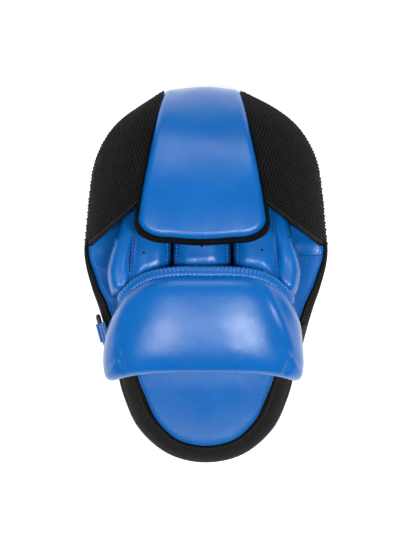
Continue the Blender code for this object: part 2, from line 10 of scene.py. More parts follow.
import bpy
import numpy as np
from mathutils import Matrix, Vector

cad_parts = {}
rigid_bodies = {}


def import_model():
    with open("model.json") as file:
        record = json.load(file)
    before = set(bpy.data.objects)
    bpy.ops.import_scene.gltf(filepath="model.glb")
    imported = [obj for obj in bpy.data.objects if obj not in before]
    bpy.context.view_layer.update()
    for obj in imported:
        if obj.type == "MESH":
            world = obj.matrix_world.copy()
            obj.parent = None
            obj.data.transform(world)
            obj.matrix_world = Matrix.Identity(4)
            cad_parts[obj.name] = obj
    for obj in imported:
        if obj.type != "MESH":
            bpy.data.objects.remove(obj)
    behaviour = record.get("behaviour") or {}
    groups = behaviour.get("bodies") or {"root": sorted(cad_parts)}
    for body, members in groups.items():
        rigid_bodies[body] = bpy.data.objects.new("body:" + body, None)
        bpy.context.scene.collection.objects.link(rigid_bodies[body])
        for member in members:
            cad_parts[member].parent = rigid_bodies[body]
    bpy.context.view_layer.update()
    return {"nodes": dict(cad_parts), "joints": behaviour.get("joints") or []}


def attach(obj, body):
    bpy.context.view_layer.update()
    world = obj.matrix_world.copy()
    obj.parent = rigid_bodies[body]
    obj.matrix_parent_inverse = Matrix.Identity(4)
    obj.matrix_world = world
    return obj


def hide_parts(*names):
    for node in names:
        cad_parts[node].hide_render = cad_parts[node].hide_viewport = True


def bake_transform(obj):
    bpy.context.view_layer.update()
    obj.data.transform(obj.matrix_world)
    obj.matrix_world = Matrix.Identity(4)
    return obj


for stray in list(bpy.data.objects):
    bpy.data.objects.remove(stray)
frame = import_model()

MM = 0.001

# ---- sizes shared with the CAD model
HALF_LENGTH = 150.0
PAD_THICKNESS = 44.0
FACE_RISE = 24.0
FACE_SPAN = 112.0
BACK_DOME = 4.0
WALL_HEIGHT = 24.0
SKIN = 1.6
MESH = 2.2
GAP = 0.3
LAYER = 1.2
LINING = 1.0
FACE_MARGIN = 12.0
BOARD_LOW = 23.2
EDGE_ROUND = 9.0
GUSSET_LEANS = (
    (-148.0, 10.5), (-105.0, 13.0), (-70.0, 11.0), (-27.0, 3.4), (-2.0, 1.0), (25.0, -1.5), (50.0, 12.0),
)
OUTLINE_HALF = (
    (0, 148), (37, 142), (67, 123.5), (84, 97), (90.5, 65), (93.5, 36), (94.5, 14),
    (89.5, -7), (82.5, -28), (71, -70), (64, -97), (52, -122), (29, -141.5), (0, -148),
)
FLAP_X = -3.0
FLAP_LIP_Y = 31.0
FLAP_REACH = 120.5
FLAP_BASE_Z = 27.0
FLAP_RISE = 83.0
FLAP_TURN = math.radians(84)
FLAP_TOP_HALF = 31.0
FLAP_LIP_HALF = 52.0
FLAP_CORNER = 16.0
FLAP_CORNER_WIDTH = 24.0
FLAP_BOW = 1.8  # the lip and the fingertip seam both bow out this much in the middle
FLAP_CROWN = 5.0
FLAP_THICKNESS = 8.0
FLAP_BORDER = 6.0  # it rounds over this far in from its edge
FLAP_LINED = 0.78  # the lining reaches this share of the way to the fingertips
# zones that a change starts at and goes over: start, length
FLAP_END = (112.0, 34.0)  # the flap's side seams flatten towards the fingertips
SIDE_DROP_X = (62.0, 28.0)
SIDE_DROP_Y = (-52.0, 34.0)
HEEL_ZONE = (58.0, 34.0)  # towards the heel
SIDE_DROP = 6.5
SIDE_SEAM = ((62.0, 17.0), (97.0, 19.0))  # a stitched seam across the back panel, beside the little finger
SIDE_FOLDS = (
    # start, end, width and height: slack beside the thumb, then the seam and bulge beside the little finger
    ((-96, 14), (-76, 2), 3.0, 0.9),
    ((-94, 2), (-76, -10), 2.6, -0.7),
    ((-90, -10), (-74, -22), 3.0, 0.8),
    ((-86, 22), (-74, 10), 3.0, -0.6),
    (*SIDE_SEAM, 1.2, -0.9),
    ((66, 26), (96, 27), 4.5, 1.6),
)
HEEL_PUFF = 2.6
HEEL_PUFF_HALF = 58.0
# half sizes of the flap's binding: at its sides, round the lip and at the fingertips
BINDING_HALF = (1.45, 2.70, 0.75)
BINDING_DEPTH = (3.9, 3.5, 1.5)
BINDING_SINK = 3.0  # at the fingertips
MESH_SEAM = 3.2  # from the flap's edge to the mesh, under the binding
MESH_SEAM_END = 0.2  # the same at the fingertips
HEM_INNER_Y = 60.0
HEM_OUTER_Y = 25.5
MESH_TOP_Y = 139.0  # where the mesh ends on the rim
MESH_TIP_Y = 149.5  # and at the flap
MESH_RISE = 2.5
MESH_ROW = 2.9  # the mesh is knitted in rows of cells this far apart
MESH_CELL = 2.5
MESH_RELIEF = 1.5
MESH_PLY = 1.4
MESH_ROLL = 2.6  # radius that the mesh's open edge turns under on
MESH_ROLL_TURN = math.radians(165)
LINING_FROM_Y = -70.0
LINING_TO_Y = 112.0
LINING_WIDTHS = (
    (-70.0, 50.0), (-34.0, 57.0), (-12.0, 68.0), (20.0, 70.0), (60.0, 64.0), (112.0, 46.0),
)
SLEEVES = {
    # centre x, half width, height, length
    "thumb_sleeve": (-70.2, 10.4, 18.0, 68.0),
    "index_sleeve": (-45.4, 17.8, 22.0, 86.0),
    "middle_sleeve": (-3.3, 23.1, 24.5, 92.0),
    "ring_sleeve": (40.9, 19.2, 22.0, 86.0),
    "little_sleeve": (67.0, 10.4, 18.0, 68.0),
}
SLEEVE_SKIN = 2.4
PUCKER_PITCH = 7.5  # the gathers at the knuckle seam are this far apart
SLEEVE_TAPER = 0.3
SLEEVE_NARROWING = 0.18
SLEEVE_GATHER = 0.06
SLEEVE_START = 1.6  # the sleeves start this far beyond the knuckle line
OUTER_SLEEVE_X = 60.0
SLEEVE_REACH = 68.0  # beyond this the knuckle line falls back no further under the sleeves
GRIP_RADII = (30.0, 19.0)
GRIP_HEIGHT = 12.0
GRIP_Y = -24.0
KNUCKLE_Y = 6.0
KNUCKLE_DROP = 25.0
CUFF_LOW_Y = -77.5
CUFF_LOW_DROP = 7.5
CUFF_EDGE_Z = 71.0
CUFF_POWER = 2.5
CUFF_THICKNESS = 11.2
CUFF_BORDERS = (3.0, 9.0, 7.0, 7.0)  # it rounds over this far in from its seam, wrist lip and two sides
CUFF_SHIFT = 2.0  # the wrist end of the cuff sits this much to the left
CUFF_WIDTHS = ((0.0, 69.0), (0.1, 71.0), (0.32, 76.6), (0.58, 79.1), (0.78, 79.6), (0.92, 77.5), (1.0, 72.5))
CUFF_CROWNS = (
    (0.0, 100.0), (0.05, 107.0), (0.12, 112.5), (0.24, 115.0),
    (0.5, 115.2), (0.75, 113.0), (0.9, 109.6), (1.0, 104.5),
)
CUFF_FOLDS = (
    # start, end, width and height: long folds down both sides, then wrinkles at the lower corners
    ((44, -2), (71, -60), 3.2, 1.1),
    ((55, -6), (74, -40), 2.6, 0.8),
    ((58, -52), (77, -78), 2.2, 0.9),
    ((-58, -6), (-76, -52), 3.6, 0.9),
    ((-62, -58), (-80, -80), 2.4, 0.9),
    ((-70, -52), (-62, -80), 2.2, -0.9),
    ((68, -60), (60, -80), 2.2, -0.9),
)
GORE_Y = -51.0
GORE_WIDTH = 26.0
GORE_LOW_RISE = 15.0
GORE_TOP_X = 76.0
GORE_CLEARANCE = 2.8
BAR_RADIUS = 1.7
BAR_PLAY = 0.5
RING_LENGTH = 30.0
RING_HEIGHT = 11.0
RING_CORNER = 2.6
STRAP_WIDTH = 15.0
STRAP_PLY = 1.3
STRAP_TAIL = 22.0
KEEPER_ANGLE = math.radians(118)
KEEPER_TAIL = 4.5
TAPE = 1.1
TAPE_HEIGHT = 8.5
TARGET_RADIUS = 36.0
TARGET_DOT_RADIUS = 12.0
PATCH = 1.2


# ---- numbers and curves
def smoothstep(t):
    """A soft step from 0 to 1 as t goes from 0 to 1."""
    t = np.clip(t, 0, 1)
    return t * t * (3 - 2 * t)


def onset(value, zone):
    """A soft step from 0 to 1 where a value crosses a zone."""
    return smoothstep((value - zone[0]) / zone[1])


def rounded(t):
    """A quarter circle that rises from 0 to 1 as t goes from 0 to 1."""
    return np.sqrt(np.clip(1 - (1 - np.clip(t, 0, 1)) ** 2, 0, 1))


def signed_power(value, power):
    """A power of the value's size that keeps its sign."""
    return np.sign(value) * np.abs(value) ** power


def turns(count):
    """Angles that go evenly round a circle."""
    return np.linspace(0, 2 * math.pi, count, endpoint=False)


def looped(points):
    """A loop of points that ends with its first one again."""
    return np.vstack([points, points[:1]])


def level(table, at):
    """Smooth interpolation in a short table of (place, value)."""
    at = np.asarray(at, float)
    found = np.full(at.shape, float(table[-1][1]))
    for (a, low), (b, high) in reversed(list(zip(table, table[1:]))):
        found = np.where(at <= b, low + (high - low) * smoothstep((at - a) / (b - a)), found)
    return found


def unit(vectors):
    """The vectors along the last axis, at length 1."""
    return vectors / np.maximum(np.linalg.norm(vectors, axis=-1, keepdims=True), 1e-9)


def travelled(points, axis=0):
    """Distance along a polyline, or along one axis of a grid of points, at each of its points."""
    steps = np.linalg.norm(np.diff(points, axis=axis), axis=-1)
    start = np.zeros_like(np.take(steps, [0], axis))
    return np.concatenate([start, np.cumsum(steps, axis)], axis)


def resample(points, count, closed=False):
    """count evenly spaced points along a polyline."""
    if closed:
        points = looped(points)
    along = travelled(points)
    steps = np.linspace(0, along[-1], count + 1)[:-1] if closed else np.linspace(0, along[-1], count)
    return np.stack([np.interp(steps, along, points[:, k]) for k in range(points.shape[1])], 1)


def spline(points, count, closed=False, fine=24):
    """count evenly spaced points on the Catmull-Rom curve through the given ones."""
    p = np.asarray(points, float)
    n = len(p)
    spans = n if closed else n - 1
    t = np.arange(fine)[:, None] / fine
    dense = []
    for i in range(spans):
        k = [(i + d) % n if closed else min(max(i + d, 0), n - 1) for d in (-1, 0, 1, 2)]
        a, b, c, d = p[k]
        dense.append(0.5 * (2 * b + (c - a) * t + (2 * a - 5 * b + 4 * c - d) * t**2
                            + (3 * b - a - 3 * c + d) * t**3))
    if not closed:
        dense.append(p[-1:])
    return resample(np.vstack(dense), count, closed)


def curve(table, at):
    """A flowing line through a short table of (place, value)."""
    line = spline(table, 400)
    return np.interp(at, line[:, 0], line[:, 1])


OUTLINE = spline(list(OUTLINE_HALF) + [(-x, y) for x, y in OUTLINE_HALF[-2:0:-1]], 720, closed=True)
ALONG = unit(np.roll(OUTLINE, -2, 0) - np.roll(OUTLINE, 2, 0))
INWARD = np.stack([ALONG[:, 1], -ALONG[:, 0]], 1)
PERIMETER = np.linalg.norm(np.roll(OUTLINE, -1, 0) - OUTLINE, axis=1).sum()


def inset_loop(inset):
    """The outline moved inwards by inset, a number or one for each point."""
    return OUTLINE + INWARD * np.broadcast_to(inset, len(OUTLINE))[:, None]


def rim_point(y, side, loop):
    """The points of a plan loop that are level with y on one side."""
    mine = loop[loop[:, 0] * side >= 0]
    mine = mine[np.argsort(mine[:, 1])]
    return np.interp(y, mine[:, 1], mine[:, 0])


def face_z(y):
    """Height of the cupped striking face."""
    return FACE_RISE * np.cos(np.minimum(np.abs(y) / FACE_SPAN, 1) * math.pi / 2) ** 2


def back_z(x, y):
    """Height of the pad's back, under the hand."""
    arch = FACE_RISE * np.cos(np.minimum(np.abs(y) / HALF_LENGTH, 1) * math.pi / 2) ** 2
    return PAD_THICKNESS + arch - BACK_DOME * (x / 90.0) ** 2


def floor_z(x, y):
    """The top of the glove's lining."""
    return back_z(x, y) + SKIN + LAYER + LINING


def side_drop(x, y):
    """How far the back panel slopes down towards the rim beside the hand."""
    return SIDE_DROP * onset(np.abs(x), SIDE_DROP_X) * onset(y, SIDE_DROP_Y)


def sloped_z(x, y):
    """Height of the pad's back with its sides lowered."""
    return back_z(x, y) - side_drop(x, y)


RIM_Z = face_z(OUTLINE[:, 1])
RIM_LEAN = level(GUSSET_LEANS, OUTLINE[:, 1])


def waves(points, seed, scale, strength):
    """Soft seeded unevenness over points, for padding that isn't perfectly regular."""
    rng = np.random.default_rng(seed)
    total = np.zeros(points.shape[:-1])
    for _ in range(7):
        direction = unit(rng.normal(size=3)) * rng.uniform(0.6, 1.5) * 2 * math.pi / scale
        total += np.sin(points @ direction + rng.uniform(0, 2 * math.pi))
    return total * strength / 3


def ridge(x, y, start, end, width, height):
    """A soft fold in plan from start to end, tapering to nothing at both."""
    a = np.array(start, float)
    run = np.array(end, float) - a
    length = np.linalg.norm(run)
    run = run / length
    along = ((x - a[0]) * run[0] + (y - a[1]) * run[1]) / length
    across = (x - a[0]) * -run[1] + (y - a[1]) * run[0]
    fade = np.clip(np.sin(np.clip(along, 0, 1) * math.pi), 0, 1)
    return height * fade * np.exp(-((across / width) ** 2))


def folds(x, y, table):
    """The height of all the folds in a table, in plan."""
    return sum(ridge(x, y, *fold) for fold in table)


def unit_grid(rows, columns, v=(0, 1), u=(0, 1)):
    """Two grids of shares: v changes from row to row and u from column to column."""
    return np.meshgrid(np.linspace(*v, rows), np.linspace(*u, columns), indexing="ij")


# ---- meshes
def knit_cells(along, pitch, row):
    """Cells along a knitted row, 1 at their middles; every second row is half a cell on."""
    return np.abs(np.cos(math.pi * (along / pitch + 0.5 * (row % 2))))


def quads(index):
    """Faces over a grid of point numbers."""
    corners = (index[:-1, :-1], index[:-1, 1:], index[1:, 1:], index[1:, :-1])
    return np.stack(corners, -1).reshape(-1, 4)


def outward(points, faces):
    """Flips a closed body's faces if they point in."""
    a, b, c, d = (points[faces[:, k]] for k in range(4))
    volume = np.einsum("ij,ij->i", a, np.cross(b, c) + np.cross(c, d)).sum()
    return faces if volume > 0 else faces[:, ::-1]


def place(name, data):
    """A new object in the scene."""
    made = bpy.data.objects.new(name, data)
    bpy.context.scene.collection.objects.link(made)
    return made


def make(name, points, faces, finish, body="pad"):
    """A smooth-shaded object from points in millimetres, riding on a body."""
    mesh = bpy.data.meshes.new(name)
    mesh.from_pydata((np.asarray(points) * MM).tolist(), [], [tuple(f) for f in faces])
    mesh.shade_smooth()
    made = place(name, mesh)
    mesh.materials.append(FINISHES[finish])
    if body:
        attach(made, body)
    return made


def normals_of(grid, axis=2):
    """Unit normals of a grid of points, facing the positive way along an axis at its middle."""
    normal = unit(np.cross(np.gradient(grid, axis=1), np.gradient(grid, axis=0)))
    return normal * np.sign(normal[grid.shape[0] // 2, grid.shape[1] // 2, axis])


def shell(name, outer, inner, finish, body="pad"):
    """A closed body between two grids of points."""
    rows, columns = outer.shape[:2]
    top = np.arange(rows * columns).reshape(rows, columns)
    low = top + rows * columns
    faces = [quads(top), quads(low)[:, ::-1]]
    for a, b in ((low[0], top[0]), (top[-1], low[-1]), (top[:, 0], low[:, 0]), (low[:, -1], top[:, -1])):
        faces.append(quads(np.stack([a, b])))
    points = np.vstack([outer.reshape(-1, 3), inner.reshape(-1, 3)])
    return make(name, points, outward(points, np.vstack(faces)), finish, body)


def loft(name, loops, finish, body="pad", ends=True):
    """A closed body through a stack of loops: ends closed in a point, or the stack closed on itself."""
    loops = np.asarray(loops)
    count, sides = loops.shape[:2]
    index = np.arange(count * sides).reshape(count, sides)
    index = np.hstack([index, index[:, :1]])
    points = loops.reshape(-1, 3)
    if not ends:
        faces = quads(np.vstack([index, index[:1]]))
        return make(name, points, outward(points, faces), finish, body)
    first = len(points)
    points = np.vstack([points, loops[0].mean(0), loops[-1].mean(0)])
    faces = quads(index)
    low = np.stack([np.full(sides, first), index[0, 1:], index[0, :-1]], 1)
    high = np.stack([np.full(sides, first + 1), index[-1, :-1], index[-1, 1:]], 1)
    if (outward(points, faces) != faces).any():
        faces, low, high = faces[:, ::-1], low[:, ::-1], high[:, ::-1]
    return make(name, points, [*faces, *low, *high], finish, body)


def ellipses(aside, up, across, high, turn):
    """Loops round a tube's middles, from its two directions and half sizes at each."""
    wide = across[:, None] * np.cos(turn)
    tall = high[:, None] * np.sin(turn)
    return aside[:, None] * wide[..., None] + up[:, None] * tall[..., None]


def sweep(name, path, up, across, high, finish, body="pad", closed=False, sides=16, rib=0.0, pitch=2.0):
    """A tube along a path: across and high are its half sizes, rib a share that they pulse by."""
    path = np.asarray(path, float)
    count = len(path)
    if closed:
        tangent = unit(np.roll(path, -1, 0) - np.roll(path, 1, 0))
    else:
        tangent = unit(np.gradient(path, axis=0))
    up = np.broadcast_to(up, path.shape)
    side = unit(np.cross(tangent, up))
    up = np.cross(side, tangent)
    length = travelled(path)
    pulse = 1 + rib * np.cos(2 * math.pi * length / pitch)
    across = np.broadcast_to(across, count) * pulse
    high = np.broadcast_to(high, count) * pulse
    if not closed:
        end = np.minimum(length, length[-1] - length) / np.maximum(across, 1e-6)
        cap = np.maximum(rounded(end), 0.002**0.5)
        across = across * cap
        high = high * cap
    loops = path[:, None] + ellipses(side, up, across, high, turns(sides))
    return loft(name, loops, finish, body, ends=not closed)


def capsules(name, middles, tangents, ups, length, radius, finish, body="pad"):
    """Many short round-ended threads in one piece."""
    sides = 6
    along = np.array([-1.0, -0.82, -0.35, 0.35, 0.82, 1.0]) * length / 2
    wide = np.array([0.25, 0.75, 1.0, 1.0, 0.75, 0.25]) * radius
    bow = (1 - (along / (length / 2)) ** 2) * radius * 0.8
    asides = unit(np.cross(tangents, ups))
    ups = np.cross(asides, tangents)
    points = []
    faces = []
    first = np.arange(len(along) * sides).reshape(len(along), sides)
    for m, t, s, u in zip(middles, tangents, asides, ups):
        index = first + len(points) * first.size
        line = m + t * along[:, None] + u * bow[:, None]
        rings = line[:, None] + ellipses(s[None], u[None], wide, wide, turns(sides))
        points.append(rings.reshape(-1, 3))
        wrap = np.hstack([index, index[:, :1]])
        faces += [tuple(f[::-1]) for f in quads(wrap)]
        faces += [tuple(index[0]), tuple(index[-1][::-1])]
    return make(name, np.vstack(points), faces, finish, body)


def stitches(name, path, up, finish, body="pad", pitch=3.3, length=2.5, radius=0.38, closed=False):
    """A row of stitches along a path on a surface, whose outward directions are up."""
    path = np.asarray(path, float)
    up = np.broadcast_to(up, path.shape)
    if closed:
        path = looped(path)
        up = looped(up)
    count = max(int(travelled(path)[-1] / pitch), 2)
    even = resample(np.hstack([path, up]), count * 2 + 1)
    middles = even[1::2, :3]
    tangents = unit(even[2::2, :3] - even[0:-1:2, :3])
    return capsules(name, middles, tangents, unit(even[1::2, 3:]), length, radius, finish, body)


def under_lining(name, grid, normal, thickness, body="pad"):
    """The cloth that lines a padded panel, a gap below its foam."""
    under = grid - normal * (thickness + GAP)
    return shell(name, under, under - normal * LINING, "black_lining", body)


# ---- materials
def set_inputs(node, **values):
    """Sets inputs of a shader node; an underscore in a name stands for a space."""
    for socket, value in values.items():
        node.inputs[socket.replace("_", " ")].default_value = value


class Nodes:
    """A Principled material under construction, with short names for what every finish needs."""

    def __init__(self, name, roughness, **fixed):
        self.material = bpy.data.materials.new(name)
        self.material.use_nodes = True
        self.tree = self.material.node_tree
        self.shader = self.tree.nodes["Principled BSDF"]
        set_inputs(self.shader, Roughness=roughness, **fixed)
        self.place = self.add("TexCoord").outputs["Object"]

    def link(self, output, socket):
        self.tree.links.new(output, socket)

    def add(self, kind, **inputs):
        node = self.tree.nodes.new(f"ShaderNode{kind}")
        set_inputs(node, **inputs)
        return node

    def texture(self, kind, **inputs):
        """A procedural texture over the object."""
        node = self.add(f"Tex{kind}", **inputs)
        self.link(self.place, node.inputs["Vector"])
        return node

    def noise(self, scale, detail=3.0, rough=0.5):
        return self.texture("Noise", Scale=scale, Detail=detail, Roughness=rough).outputs["Fac"]

    def cells(self, scale, feature="DISTANCE_TO_EDGE"):
        node = self.texture("Voronoi", Scale=scale)
        node.feature = feature
        return node.outputs["Distance"]

    def ribs(self, scale, direction="X", distortion=0.0):
        node = self.texture("Wave", Scale=scale, Distortion=distortion)
        node.bands_direction = direction
        return node.outputs["Fac"]

    def ramp(self, value, *stops):
        """stops are (position, colour or grey level)."""
        node = self.add("ValToRGB")
        stop = node.color_ramp.elements
        while len(stop) < len(stops):
            stop.new(1.0)
        for element, (position, colour) in zip(stop, stops):
            element.position = position
            colour = colour if hasattr(colour, "__len__") else (colour,) * 3
            element.color = (*colour, 1)
        self.link(value, node.inputs["Fac"])
        return node.outputs["Color"]

    def mix(self, share, a, b, kind="MIX"):
        node = self.add("Mix")
        node.data_type = "RGBA"
        node.blend_type = kind
        for value, socket in ((share, 0), (a, 6), (b, 7)):
            if isinstance(value, bpy.types.NodeSocket):
                self.link(value, node.inputs[socket])
            elif socket:
                node.inputs[socket].default_value = (*value, 1)
            else:
                node.inputs[socket].default_value = value
        return node.outputs[2]

    def colour(self, output):
        self.link(output, self.shader.inputs["Base Color"])

    def rough(self, value, low, high):
        node = self.add("MapRange", To_Min=low, To_Max=high)
        self.link(value, node.inputs["Value"])
        self.link(node.outputs["Result"], self.shader.inputs["Roughness"])

    def bump(self, *heights):
        """Each height is (output, strength, distance in metres)."""
        last = None
        for value, strength, distance in heights:
            node = self.add("Bump", Strength=strength, Distance=distance)
            self.link(value, node.inputs["Height"])
            if last:
                self.link(last, node.inputs["Normal"])
            last = node.outputs["Normal"]
        self.link(last, self.shader.inputs["Normal"])
        return self.material

    def edges(self):
        """High on convex edges, low in creases."""
        return self.add("NewGeometry").outputs["Pointiness"]


def leather(name, base, deep, convex_tone, roughness):
    """Coated leather: fine cells, an uneven colour, and a lighter colour on its convex edges."""
    n = Nodes(name, roughness, Specular_IOR_Level=0.45)
    body = n.mix(n.ramp(n.noise(26, 3), (0.3, 0.0), (0.7, 1.0)), deep, base)
    # lighter where the surface is convex, picked by pointiness
    n.colour(n.mix(n.ramp(n.edges(), (0.52, 0.0), (0.6, 0.6)), body, convex_tone))
    n.rough(n.noise(60, 4), roughness - 0.05, roughness + 0.07)
    return n.bump(
        (n.ramp(n.cells(1150), (0.0, 0.0), (0.25, 1.0)), 0.35, 0.00006),
        (n.noise(420, 4, 0.6), 0.25, 0.00012),
        (n.noise(70, 2), 0.3, 0.0003),
    )


def knit(name, low, high, scale, roughness, shine):
    """Black textile: a fine two-way weave, with painted shade in its holes and creases and a painted
    highlight on its raised yarn.
    """
    n = Nodes(name, roughness, Specular_IOR_Level=shine)
    weave = n.mix(1.0, n.ribs(scale, "X", 1.2), n.ribs(scale, "Y", 1.2), "MULTIPLY")
    # the colour of the painted highlight on the raised yarn, varied at random in tone
    convex_tone = n.mix(n.ramp(n.noise(90, 3), (0.3, 0.0), (0.7, 1.0)), high, tuple(c * 1.5 for c in high))
    # painted shade in the creases and painted highlight on the convex yarn, picked by pointiness
    shade_and_highlight = n.mix(n.ramp(n.edges(), (0.49, 0.0), (0.54, 1.0)), low, convex_tone)
    n.colour(n.mix(0.5, shade_and_highlight, n.mix(1.0, shade_and_highlight, weave, "MULTIPLY")))
    return n.bump((weave, 0.5, 0.0002), (n.noise(900, 2), 0.4, 0.0001))


def moulded(name, base, roughness):
    """Moulded plastic with a faint orange-peel surface."""
    n = Nodes(name, roughness)
    n.colour(n.mix(n.noise(120, 3), base, tuple(c * 1.5 for c in base)))
    n.rough(n.noise(300, 3), roughness - 0.08, roughness + 0.08)
    return n.bump((n.noise(1500, 2), 0.2, 0.00005), (n.noise(200, 2), 0.2, 0.0001))


def porous(name, base, pore):
    """Foam or pressed board: dark pores over an uneven body."""
    n = Nodes(name, 0.92)
    holes = n.ramp(n.cells(pore, "F1"), (0.1, 0.35), (0.5, 1.0))
    n.colour(n.mix(1.0, n.mix(n.noise(40, 3), base, tuple(c * 0.8 for c in base)), holes, "MULTIPLY"))
    return n.bump((holes, 0.6, 0.0003))


def thread(name, base):
    """Twisted sewing thread."""
    n = Nodes(name, 0.6, Sheen_Weight=0.3)
    n.colour(n.mix(n.noise(700, 2), base, tuple(c * 0.7 for c in base)))
    return n.bump((n.ribs(1400, "DIAGONAL"), 0.6, 0.0001))


BLUE = (0.003, 0.142, 0.505)
FINISHES = {name: finish(name, *values) for name, finish, *values in (
    ("blue_leather", leather, BLUE, (0.002, 0.122, 0.450), (0.022, 0.205, 0.600), 0.26),
    ("black_leather", leather, (0.008, 0.008, 0.009), (0.005, 0.005, 0.006), (0.030, 0.030, 0.032), 0.34),
    ("white_leather", leather, (0.80, 0.80, 0.79), (0.72, 0.72, 0.71), (0.86, 0.86, 0.85), 0.42),
    # knits: the painted shade colour in the holes, then the painted highlight colour on the yarn
    ("black_mesh", knit, (0.0005, 0.0005, 0.001), (0.024, 0.023, 0.023), 900, 0.55, 0.08),
    ("black_webbing", knit, (0.002, 0.002, 0.003), (0.008, 0.008, 0.008), 700, 0.7, 0.06),
    ("black_lining", knit, (0.006, 0.006, 0.007), (0.016, 0.016, 0.018), 1100, 0.85, 0.1),
    ("black_plastic", moulded, (0.012, 0.012, 0.013), 0.38),
    ("foam", porous, (0.35, 0.35, 0.36), 900),
    ("board", porous, (0.10, 0.10, 0.11), 1600),
    ("blue_thread", thread, (0.045, 0.230, 0.640)),
    ("black_thread", thread, (0.014, 0.014, 0.015)),
    # near-black painted shade for the vents' wells
    ("vent_shade", moulded, (0.003, 0.003, 0.003), 0.8),
    ("vent_rim", moulded, (0.006, 0.14, 0.48), 0.4),
)}


# ---- the pad
def plan(loop, z):
    """A plan loop with its heights, as points."""
    return np.column_stack([loop, np.broadcast_to(z, len(loop))])


def spread(loop, height, shares):
    """Copies of a plan loop drawn in towards the middle, each lifted onto a height field."""
    return [plan(loop * s, height(loop[:, 0] * s, loop[:, 1] * s)) for s in shares]


def make_pad_shell():
    """The leather dish that is struck: face, rounded edge and side wall."""
    loops = spread(inset_loop(FACE_MARGIN), lambda x, y: face_z(y), np.linspace(0.02, 1, 46))
    for turn in np.linspace(0.12, math.pi / 2, 9):
        loop = inset_loop(FACE_MARGIN * (1 - math.sin(turn)))
        loops.append(plan(loop, RIM_Z + EDGE_ROUND * (1 - math.cos(turn))))
    for rise in np.linspace(EDGE_ROUND + 1.5, WALL_HEIGHT, 8):
        bulge = 0.7 * math.sin(math.pi * (rise - EDGE_ROUND) / (WALL_HEIGHT - EDGE_ROUND))
        loop = inset_loop(-bulge)
        z = RIM_Z + rise
        loops.append(plan(loop + INWARD * waves(plan(loop, z), 3, 34, 0.12)[:, None], z))
    for rise, inset in ((WALL_HEIGHT, SKIN), (EDGE_ROUND + 2, SKIN), (3.4, 5.0), (SKIN, FACE_MARGIN)):
        loops.append(plan(inset_loop(inset), RIM_Z + rise))
    loops += spread(inset_loop(FACE_MARGIN), lambda x, y: face_z(y) + SKIN, np.linspace(0.98, 0.02, 14))
    pad = loft("pad_shell", loops, "black_leather")
    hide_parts("front_cover")
    path = plan(inset_loop(-0.1), RIM_Z + WALL_HEIGHT - 3)
    stitches("wall_stitching", path, plan(-INWARD, 0), "black_thread", pitch=4.2, length=3.1, closed=True)


def face_ring(radius, rise, turn):
    """A circle at a height over the striking face."""
    y = radius * np.sin(turn)
    return np.column_stack([radius * np.cos(turn), y, face_z(y) + rise])


def disc_loops(outer, inner, low, high):
    """Loops round a flat ring or disc with softened edges, on the striking face."""
    edge = 0.35
    steps = (
        (inner, low), (outer - edge, low), (outer, low + edge),
        (outer, high - edge), (outer - edge, high), (inner, high),
    )
    return [face_ring(radius, rise, turns(120)) for radius, rise in steps]


def make_target():
    """The round target on the striking face, sewn round both edges."""
    high = -LAYER
    low = -LAYER - PATCH
    ring = loft("target_patch", disc_loops(TARGET_RADIUS, TARGET_DOT_RADIUS + 2 * GAP, low, high),
                "blue_leather", ends=False)
    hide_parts("target_ring")
    dot = loft("target_centre", disc_loops(TARGET_DOT_RADIUS, 0.5, low, high), "white_leather")
    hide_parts("target_dot")
    for word, radius in (("outer", TARGET_RADIUS - 2.2), ("inner", TARGET_DOT_RADIUS + 3)):
        path = face_ring(radius, low - 0.05, turns(180))
        stitches(f"target_stitching_{word}", path, (0, 0, -1), "black_thread", closed=True)


def make_gusset():
    """The air-mesh band round the edge, leaning in to the back panel, with its cells in relief."""
    count = int(PERIMETER / 0.62)
    loop = resample(OUTLINE, count, closed=True)
    inward = unit(resample(INWARD, count, closed=True))
    along = np.arange(count) * PERIMETER / count
    rows = 30
    outer = []
    inner = []
    pitch = PERIMETER / round(PERIMETER / 2.5)
    for k, share in enumerate(np.linspace(0, 1, rows)):
        lean = level(GUSSET_LEANS, loop[:, 1]) * share**1.5
        low = face_z(loop[:, 1]) + WALL_HEIGHT + GAP
        high = sloped_z(*loop.T) + SKIN
        puff = 1.3 * math.sin(math.pi * share)
        # every cell is three rings of points high
        cell = knit_cells(along, pitch, k // 3) * (0.8 if k % 3 == 1 else 0.15)
        edge = 0 if 1 < k < rows - 2 else 0.3
        z = low + (high - low) * share
        outer.append(plan(loop + inward * (lean - puff - cell + edge)[:, None], z))
        inner.append(plan(loop + inward * (lean + MESH)[:, None], z))
    band = loft("gusset_mesh", outer + inner[::-3] + inner[:1], "black_mesh", ends=False)
    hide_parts("gusset_band")


def heel_puff(x, y):
    """How far the padded heel of the back panel stands up in its middle."""
    return HEEL_PUFF * onset(-y, HEEL_ZONE) * np.clip(1 - (x / HEEL_PUFF_HALF) ** 2, 0, 1)


